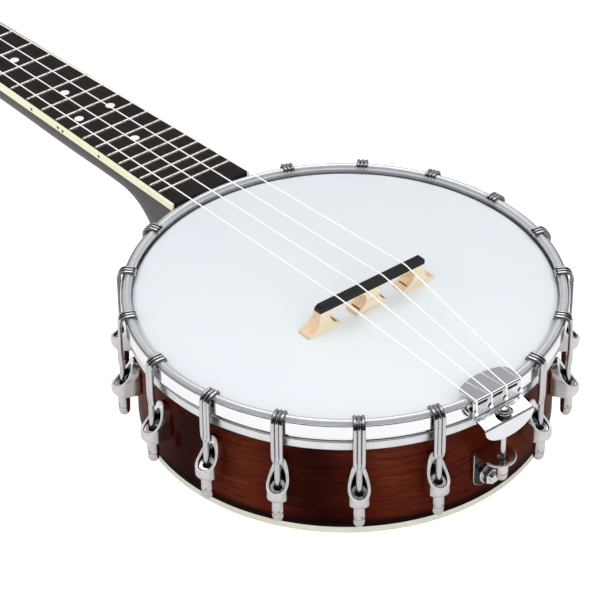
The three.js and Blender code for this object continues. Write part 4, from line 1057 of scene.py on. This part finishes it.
for i, q in enumerate((1.5, 0.5, -0.5, -1.5)):
    yT, yB, yN = q * STR_TAIL, q * STR_BRIDGE, q * STR_NUT
    zB = BR_TOP + STR_r - 0.12
    roll_x, roll_z = TPX - TP_T + 0.2, TP_TOP - 0.72
    R_ = 0.95 + STR_r + 0.03
    y_at = lambda x: lerp(x, TPX, yT, bb, yB) if x < bb else lerp(x, bf, yB, X_NUT + 2, yN)
    (u, v), s = tuners[i]
    RC = POST_r - 0.7 + STR_r + 0.02
    # up out of its hole, over the rolled edge and straight to the bridge
    slope = (zB - TP_TOP) / (bb - TPX)
    a_end = 90 - deg(math.atan(slope))
    pts = [(roll_x - 0.35, yT, H - 4.5), (roll_x - 0.9, yT, H - 4.2), (roll_x - R_ - 0.05, yT, H - 3.2), (roll_x - R_, yT, H - 1.4)]
    pts += [(x, yT, z) for x, z in arc(roll_x, roll_z, R_, 180, 90 + deg(math.atan(slope)), 8)]
    x0, z0 = pts[-1][0], pts[-1][2]
    for x in (-104, -90, -70, -50, -30):
        pts.append((x, lerp(x, x0, yT, bb, yB), lerp(x, x0, z0, bb, zB)))
    pts += [(bb + 0.3, yB, zB), ((bf + bb) / 2, yB, zB + 0.02), (bf - 0.3, yB, zB)]
    for x in (0, 40, 80, 120, 180, 240, 300, 360, X_NUT - 14):
        pts.append((x, y_at(x), lerp(x, bf, zB, X_NUT, over_nut)))
    pts += [(X_NUT + 0.3, yN, over_nut), (X_NUT + 2.2, yN * 1.01, over_nut - 0.25), (X_NUT + 4.2, yN * 1.02, over_nut - 0.75)]
    loc = HEAD_M.inverted() @ Vector(pts[-1])
    px, py = u - loc.x, s * v - loc.y
    dist = math.hypot(px, py)
    base, off = math.atan2(py, px), math.asin(RC / dist) * (-1 if s > 0 else 1)
    ln = math.sqrt(dist * dist - RC * RC)
    touch = (loc.x + ln * cos(base + off), loc.y + ln * sin(base + off))
    a0 = math.atan2(touch[1] - s * v, touch[0] - u)
    spin = 1 if s > 0 else -1
    coil = []
    turns, steps = 2.75, 90
    for k in range(steps + 1):
        a = a0 + spin * turns * 2 * pi * k / steps
        coil.append(HEAD_M @ Vector((u + RC * cos(a), s * v + RC * sin(a), 9.3 - 2.75 * k / steps)))
    pts += [tuple(p) for p in coil]
    g = Geo()
    g.add(sweep(pts, STR_r, 12), 0)
    # knot below the hole, three small turns
    kn = []
    for k in range(31):
        a = 2 * pi * 2.5 * k / 30
        kn.append((roll_x - 1.15 + 0.25 * sin(a * 0.4), yT + 0.62 * cos(a), H - 4.75 + 0.62 * sin(a) + 0.35 * (k / 30 - 0.5)))
    g.add(sweep(kn, 0.42, 10), 0)
    build(f"string_{i + 1}_visual", g, [NYLON], [f"string_{i + 1}"], sharp=60)
    ring2 = []
    for x in (X_NUT - 2, X_NUT + 8):
        y, z, e = y_at(x), over_nut - (x - X_NUT) * 0.12 - STR_r - 0.02, 0.55
        ring2.append([(x, y + e, z + 5), (x, y + e, z + 0.3), (x, y + 0.25, z), (x, y - 0.25, z), (x, y - e, z + 0.3), (x, y - e, z + 5)])
    nut_cut.add(loft(ring2))
boolean(nut_ob, [cutter(nut_cut)])
nut_ob.data.shade_smooth()
nut_ob.data.set_sharp_from_angle(angle=rad(30))

# ------------------------------------------------------------------ tuners
PLATE_T = 1.2
PT, PB = -HEAD_T - 0.3, -HEAD_T - 0.3 - PLATE_T
GEAR_R, WORM_R = 4.9, 2.4
W_OFF = GEAR_R + WORM_R + 0.3
WORM_Z = PB - 3.6


def head_edge(u):
    for (a, va), (b, vb) in zip(outline_half, outline_half[1:]):
        if a <= u <= b:
            return va + (vb - va) * (u - a) / (b - a)
    return 30


for i, ((u, v), s) in enumerate(tuners):
    LM = HEAD_M @ T_(u, s * v, 0) @ (Rz(180) if s < 0 else Matrix.Identity(4))
    m = -s
    edge = max(head_edge(u - W_OFF), head_edge(u - W_OFF - 7.4), head_edge(u - W_OFF + 7.4)) - v
    fl = lambda pts: [(m * x, y) for x, y in pts]
    # plate, bearing lugs, screws, bushing and its hexagon collar on the face
    g = Geo()
    pl = fl([(-6.5, -6), (W_OFF + 4.5, -6), (W_OFF + 6.5, -4), (W_OFF + 6.5, 7), (W_OFF + 4.5, 9), (-6.5, 9), (-8.5, 7), (-8.5, -4)])
    g.add(prism(rounded(pl, 1.2, 4), PB, PT, 0.25, 3, [arc(0, 0, POST_r + 0.25, 0, 350, 35)]), 0, LM)
    for a, b in ((-5.6, -4.2), (4.6, 6.0)):
        lug = [(m * W_OFF - 2.9, PB + 0.2), (m * W_OFF - 2.9, WORM_Z + 0.4)] + arc(m * W_OFF, WORM_Z, 2.9, 172, 368, 16, 2.4) + [(m * W_OFF + 2.9, WORM_Z + 0.4), (m * W_OFF + 2.9, PB + 0.2)]
        g.add(prism(lug, a, b, 0.2, 2, [arc(m * W_OFF, WORM_Z, 1.7, 0, 345, 23)]), 0, LM @ M_xz())
    for (x, y) in ((-6.2, 6.8), (W_OFF + 4.2, -3.7)):
        sc = [(0, PB - 0.95)] + [(1.75 * sin(rad(t)), PB - 0.15 - 0.8 * cos(rad(t))) for t in (20, 40, 60, 80)] + [(1.8, PB + 0.1), (0, PB + 0.1)]
        g.add(lathe(sc, 24), 0, LM @ T_(m * x, y, 0))
        # black bar across each screw head: painted shade for its slot
        g.add(prism([(-1.3, -0.2), (1.3, -0.2), (1.3, 0.2), (-1.3, 0.2)], PB - 0.98, PB - 0.6, 0), 1, LM @ T_(m * x, y, 0) @ Rz(35))
    tube = [(POST_r + 0.2, PT - 0.4), (4.5, PT - 0.4), (4.5, 0.35), (POST_r + 0.2, 0.35)]
    g.add(lathe(tube, 40, True), 0, LM)
    hexo = [(6.4 * cos(rad(60 * k + 15)), 6.4 * sin(rad(60 * k + 15))) for k in range(6)]
    g.add(prism(rounded(hexo, 0.5, 3), 0.05, 1.6, 0.35, 3, [arc(0, 0, POST_r + 0.2, 0, 350, 35)]), 0, LM)
    build(f"tuner_{i + 1}_plate_visual", g, [NICKEL, INLAY_AND_SHADE_BLACK], [f"tuner_{i + 1}_plate"], sharp=34)
    # post with its waist and cross hole, and the toothed gear
    g = Geo()
    waist = [(0, 13.2), (2.0, 13.2), (2.6, 12.95), (2.95, 12.4), (2.95, 11.5), (2.75, 10.9), (2.42, 10.3), (2.3, 9.5), (2.28, 8.1), (2.3, 6.9), (2.45, 6.2), (2.75, 5.5), (2.95, 5.0), (2.95, PB), (0, PB)]
    g.add(lathe(waist, 40), 0, LM)
    teeth, zt = 14, []
    for k in range(teeth):
        for f, rr in ((0.0, 4.05), (0.18, 4.15), (0.34, 4.85), (0.5, 4.95), (0.66, 4.85), (0.82, 4.15)):
            a = 2 * pi * (k + f) / teeth
            zt.append((rr * cos(a), rr * sin(a)))
    g.add(prism(zt, WORM_Z - 1.6, PB - 0.3, 0.3, 2), 1, LM)
    g.add(lathe([(0, WORM_Z - 2.85), (1.9, WORM_Z - 2.85), (2.5, WORM_Z - 2.5), (2.6, WORM_Z - 1.5), (0, WORM_Z - 1.5)], 28), 0, LM)
    # black bar across the screw under the gear: painted shade for its slot
    g.add(prism([(-1.7, -0.25), (1.7, -0.25), (1.7, 0.25), (-1.7, 0.25)], WORM_Z - 2.89, WORM_Z - 2.6, 0), 2, LM)
    post = build(f"tuner_{i + 1}_post_visual", g, [NICKEL, CAST, INLAY_AND_SHADE_BLACK], [f"tuner_{i + 1}_post"], f"tuner_{i + 1}_post", sharp=34)
    c = Geo()
    c.add(lathe([(0, -5), (0.75, -5), (0.75, 5), (0, 5)], 18), 0, LM @ T_(0, 0, 8.1) @ M_y())
    boolean(post, [cutter(c)])
    post.data.shade_smooth()
    post.data.set_sharp_from_angle(angle=rad(34))
    # worm, shaft and button
    g = Geo()
    y0 = edge + 1.2
    AX = LM @ T_(m * W_OFF, 0, WORM_Z) @ M_y()
    g.add(lathe([(0, -8.4), (1.9, -8.4), (2.25, -8.1), (2.3, -7.0), (2.1, -6.9), (1.42, -6.9), (1.42, y0 + 3), (0, y0 + 3)], 28), 0, AX)
    g.add(lathe([(0, -3.9), (1.75, -3.9), (1.85, -3.7), (1.85, 4.1), (1.75, 4.3), (0, 4.3)], 28), 0, AX)
    th = []
    for k in range(97):
        a = 2 * pi * 4.0 * k / 96
        th.append((1.95 * cos(a), 1.95 * sin(a), -3.3 + 6.9 * k / 96))
    g.add(sweep(th, [0.12 + 0.33 * min(1, k / 8, (96 - k) / 8) for k in range(97)], 8), 0, AX)
    g.add(lathe([(0, y0), (2.4, y0), (2.7, y0 + 0.4), (3.2, y0 + 2.2), (3.0, y0 + 2.9), (2.4, y0 + 3.6), (0, y0 + 3.6)], 32), 0, AX)
    kid = [(-2.4, -2.9), (-4.6, -2.6), (-6.6, -1.5), (-7.3, 0.2), (-7.1, 2.4), (-5.7, 4.6), (-3.2, 5.7), (0, 6.1), (3.2, 5.7), (5.7, 4.6), (7.1, 2.4), (7.3, 0.2), (6.6, -1.5), (4.6, -2.6), (2.4, -2.9), (0, -2.7)]
    kid = [tuple(p) for p in spline(kid, 4, True)]
    g.add(prism(kid, -2.6, 2.6, 1.5, 6), 1, AX @ T_(0, 0, y0 + 6.2) @ Matrix(((1, 0, 0, 0), (0, 0, 1, 0), (0, 1, 0, 0), (0, 0, 0, 1))))
    build(f"tuner_{i + 1}_button_visual", g, [NICKEL, BUTTON], [f"tuner_{i + 1}_button"], f"tuner_{i + 1}_button", sharp=40)

# ------------------------------------------------------------------ floor, light, camera
fm, fnt, fb = material("pale_floor", rough=0.9, color=(0.9, 0.9, 0.9), spec=0.0)
fn = noise(fnt, coords(fnt), 3, 2)
fnt.links.new(ramp(fnt, fn, [(0.3, (0.89, 0.89, 0.89)), (0.7, (0.91, 0.91, 0.91))]), fb.inputs["Base Color"])
# seen straight on, the floor glows a little, so that it stays as pale as a studio sweep and shadows stay faint
glow = node(fnt, "Emission", {"Color": (1, 1, 1, 1), "Strength": 0.62})
lit = node(fnt, "AddShader", {0: fb.outputs[0], 1: glow.outputs[0]})
fmix = node(fnt, "MixShader", {0: node(fnt, "LightPath").outputs["Is Camera Ray"], 1: fb.outputs[0], 2: lit.outputs[0]})
fnt.links.new(fmix.outputs[0], fnt.nodes["Material Output"].inputs["Surface"])
me = bpy.data.meshes.new("floor")
me.from_pydata([(-9, -9, 0), (9, -9, 0), (9, 9, 0), (-9, 9, 0)], [], [(0, 1, 2, 3)])
me.materials.append(fm)
floor = bpy.data.objects.new("floor", me)
bpy.context.scene.collection.objects.link(floor)
floor.location.z = -0.0002

sc = bpy.context.scene
sc.view_settings.view_transform = "Standard"
w = bpy.data.worlds.new("studio")
sc.world = w
w.use_nodes = True
wn = w.node_tree
bg = wn.nodes["Background"]
d = node(wn, "TexCoord").outputs["Generated"]
sep = node(wn, "SeparateXYZ", {"Vector": d})
toward = node(wn, "VectorMath", {0: d, 1: (-0.78, 0.63, 0.0)}, operation="DOT_PRODUCT").outputs["Value"]
side_f = rng(wn, toward, 0.0, 1.0, -0.30, 0.30)
elev = sep.outputs["Z"]
far = ramp(wn, elev, [(0.0, (0.30, 0.305, 0.32)), (0.45, (0.36, 0.365, 0.38)), (0.62, (0.42, 0.425, 0.44)), (0.9, (0.6, 0.6, 0.62))])
near = ramp(wn, elev, [(0.0, (0.020, 0.020, 0.024)), (0.75, (0.03, 0.03, 0.034)), (0.97, (0.30, 0.30, 0.31))])
wn.links.new(mix_color(wn, far, near, side_f), bg.inputs["Color"])
bg.inputs["Strength"].default_value = 1.0
lp = node(wn, "LightPath")
soft = node(wn, "Background", {"Color": (0.97, 0.985, 1.0, 1), "Strength": rng(wn, toward, 0.42, 1.5, -0.5, 0.7)})
seen = node(wn, "Background", {"Color": (1, 1, 1, 1), "Strength": 1.0})
m1 = node(wn, "MixShader", {0: lp.outputs["Is Glossy Ray"], 1: soft.outputs[0], 2: bg.outputs[0]})
m2 = node(wn, "MixShader", {0: lp.outputs["Is Camera Ray"], 1: m1.outputs[0], 2: seen.outputs[0]})
wn.links.new(m2.outputs[0], wn.nodes["World Output"].inputs["Surface"])


def area(name, loc, target, size, power, color=(1, 1, 1), size_y=None):
    ld = bpy.data.lights.new(name, "AREA")
    ld.energy, ld.color, ld.size = power, color, size
    if size_y:
        ld.shape, ld.size_y = "RECTANGLE", size_y
    lo_ = bpy.data.objects.new(name, ld)
    sc.collection.objects.link(lo_)
    lo_.location = loc
    lo_.rotation_mode = "QUATERNION"
    lo_.rotation_quaternion = (Vector(target) - Vector(loc)).to_track_quat("-Z", "Y")
    return lo_


px = SX * MM
area("top_box", (px + 0.6, -0.58, 2.0), (px + 0.6, -0.58, 0.0), 1.4, 1.8 * pi * 1.4 * 1.75, (1.0, 0.99, 0.98), 1.75)

C = Vector((SX * MM - 0.857038, 0.712553, 0.872694))
Tt = Vector((SX * MM + 0.005618, 0.023913, 0.0683))
cd = bpy.data.cameras.new("camera")
cam = bpy.data.objects.new("camera", cd)
sc.collection.objects.link(cam)
fwd = (Tt - C).normalized()
right = fwd.cross(Vector((0, 0, 1))).normalized()
down = fwd.cross(right).normalized()
ra = 0.0104
r2 = right * cos(ra) + down * sin(ra)
d2 = down * cos(ra) - right * sin(ra)
cam.matrix_world = Matrix.Translation(C) @ Matrix(((r2.x, -d2.x, -fwd.x), (r2.y, -d2.y, -fwd.y), (r2.z, -d2.z, -fwd.z))).to_4x4()
cd.sensor_width, cd.sensor_fit = 36, "HORIZONTAL"
cd.lens = 2879.76 * 36 / 600
cd.shift_x, cd.shift_y = (300 - 298.685) / 600, (298.918 - 300) / 600
cd.clip_start, cd.clip_end = 0.05, 20
sc.camera = cam

# flat faces keep flat shading right up to their rounded edges: normals weighted by face area
done = set()
for ob in list(sc.objects):
    if ob.type != "MESH" or ob.name == "floor" or ob.data.name in done:
        continue
    done.add(ob.data.name)
    tmp = bpy.data.objects.new("tmp", ob.data)
    sc.collection.objects.link(tmp)
    wmod = tmp.modifiers.new("weight", "WEIGHTED_NORMAL")
    wmod.keep_sharp, wmod.weight = True, 60
    bpy.context.view_layer.update()
    ev = tmp.evaluated_get(bpy.context.evaluated_depsgraph_get())
    em = ev.to_mesh()
    nv = np.empty(3 * len(em.loops), np.float32)
    em.corner_normals.foreach_get("vector", nv)
    ev.to_mesh_clear()
    bpy.data.objects.remove(tmp)
    ob.data.normals_split_custom_set(nv.reshape(-1, 3).tolist())
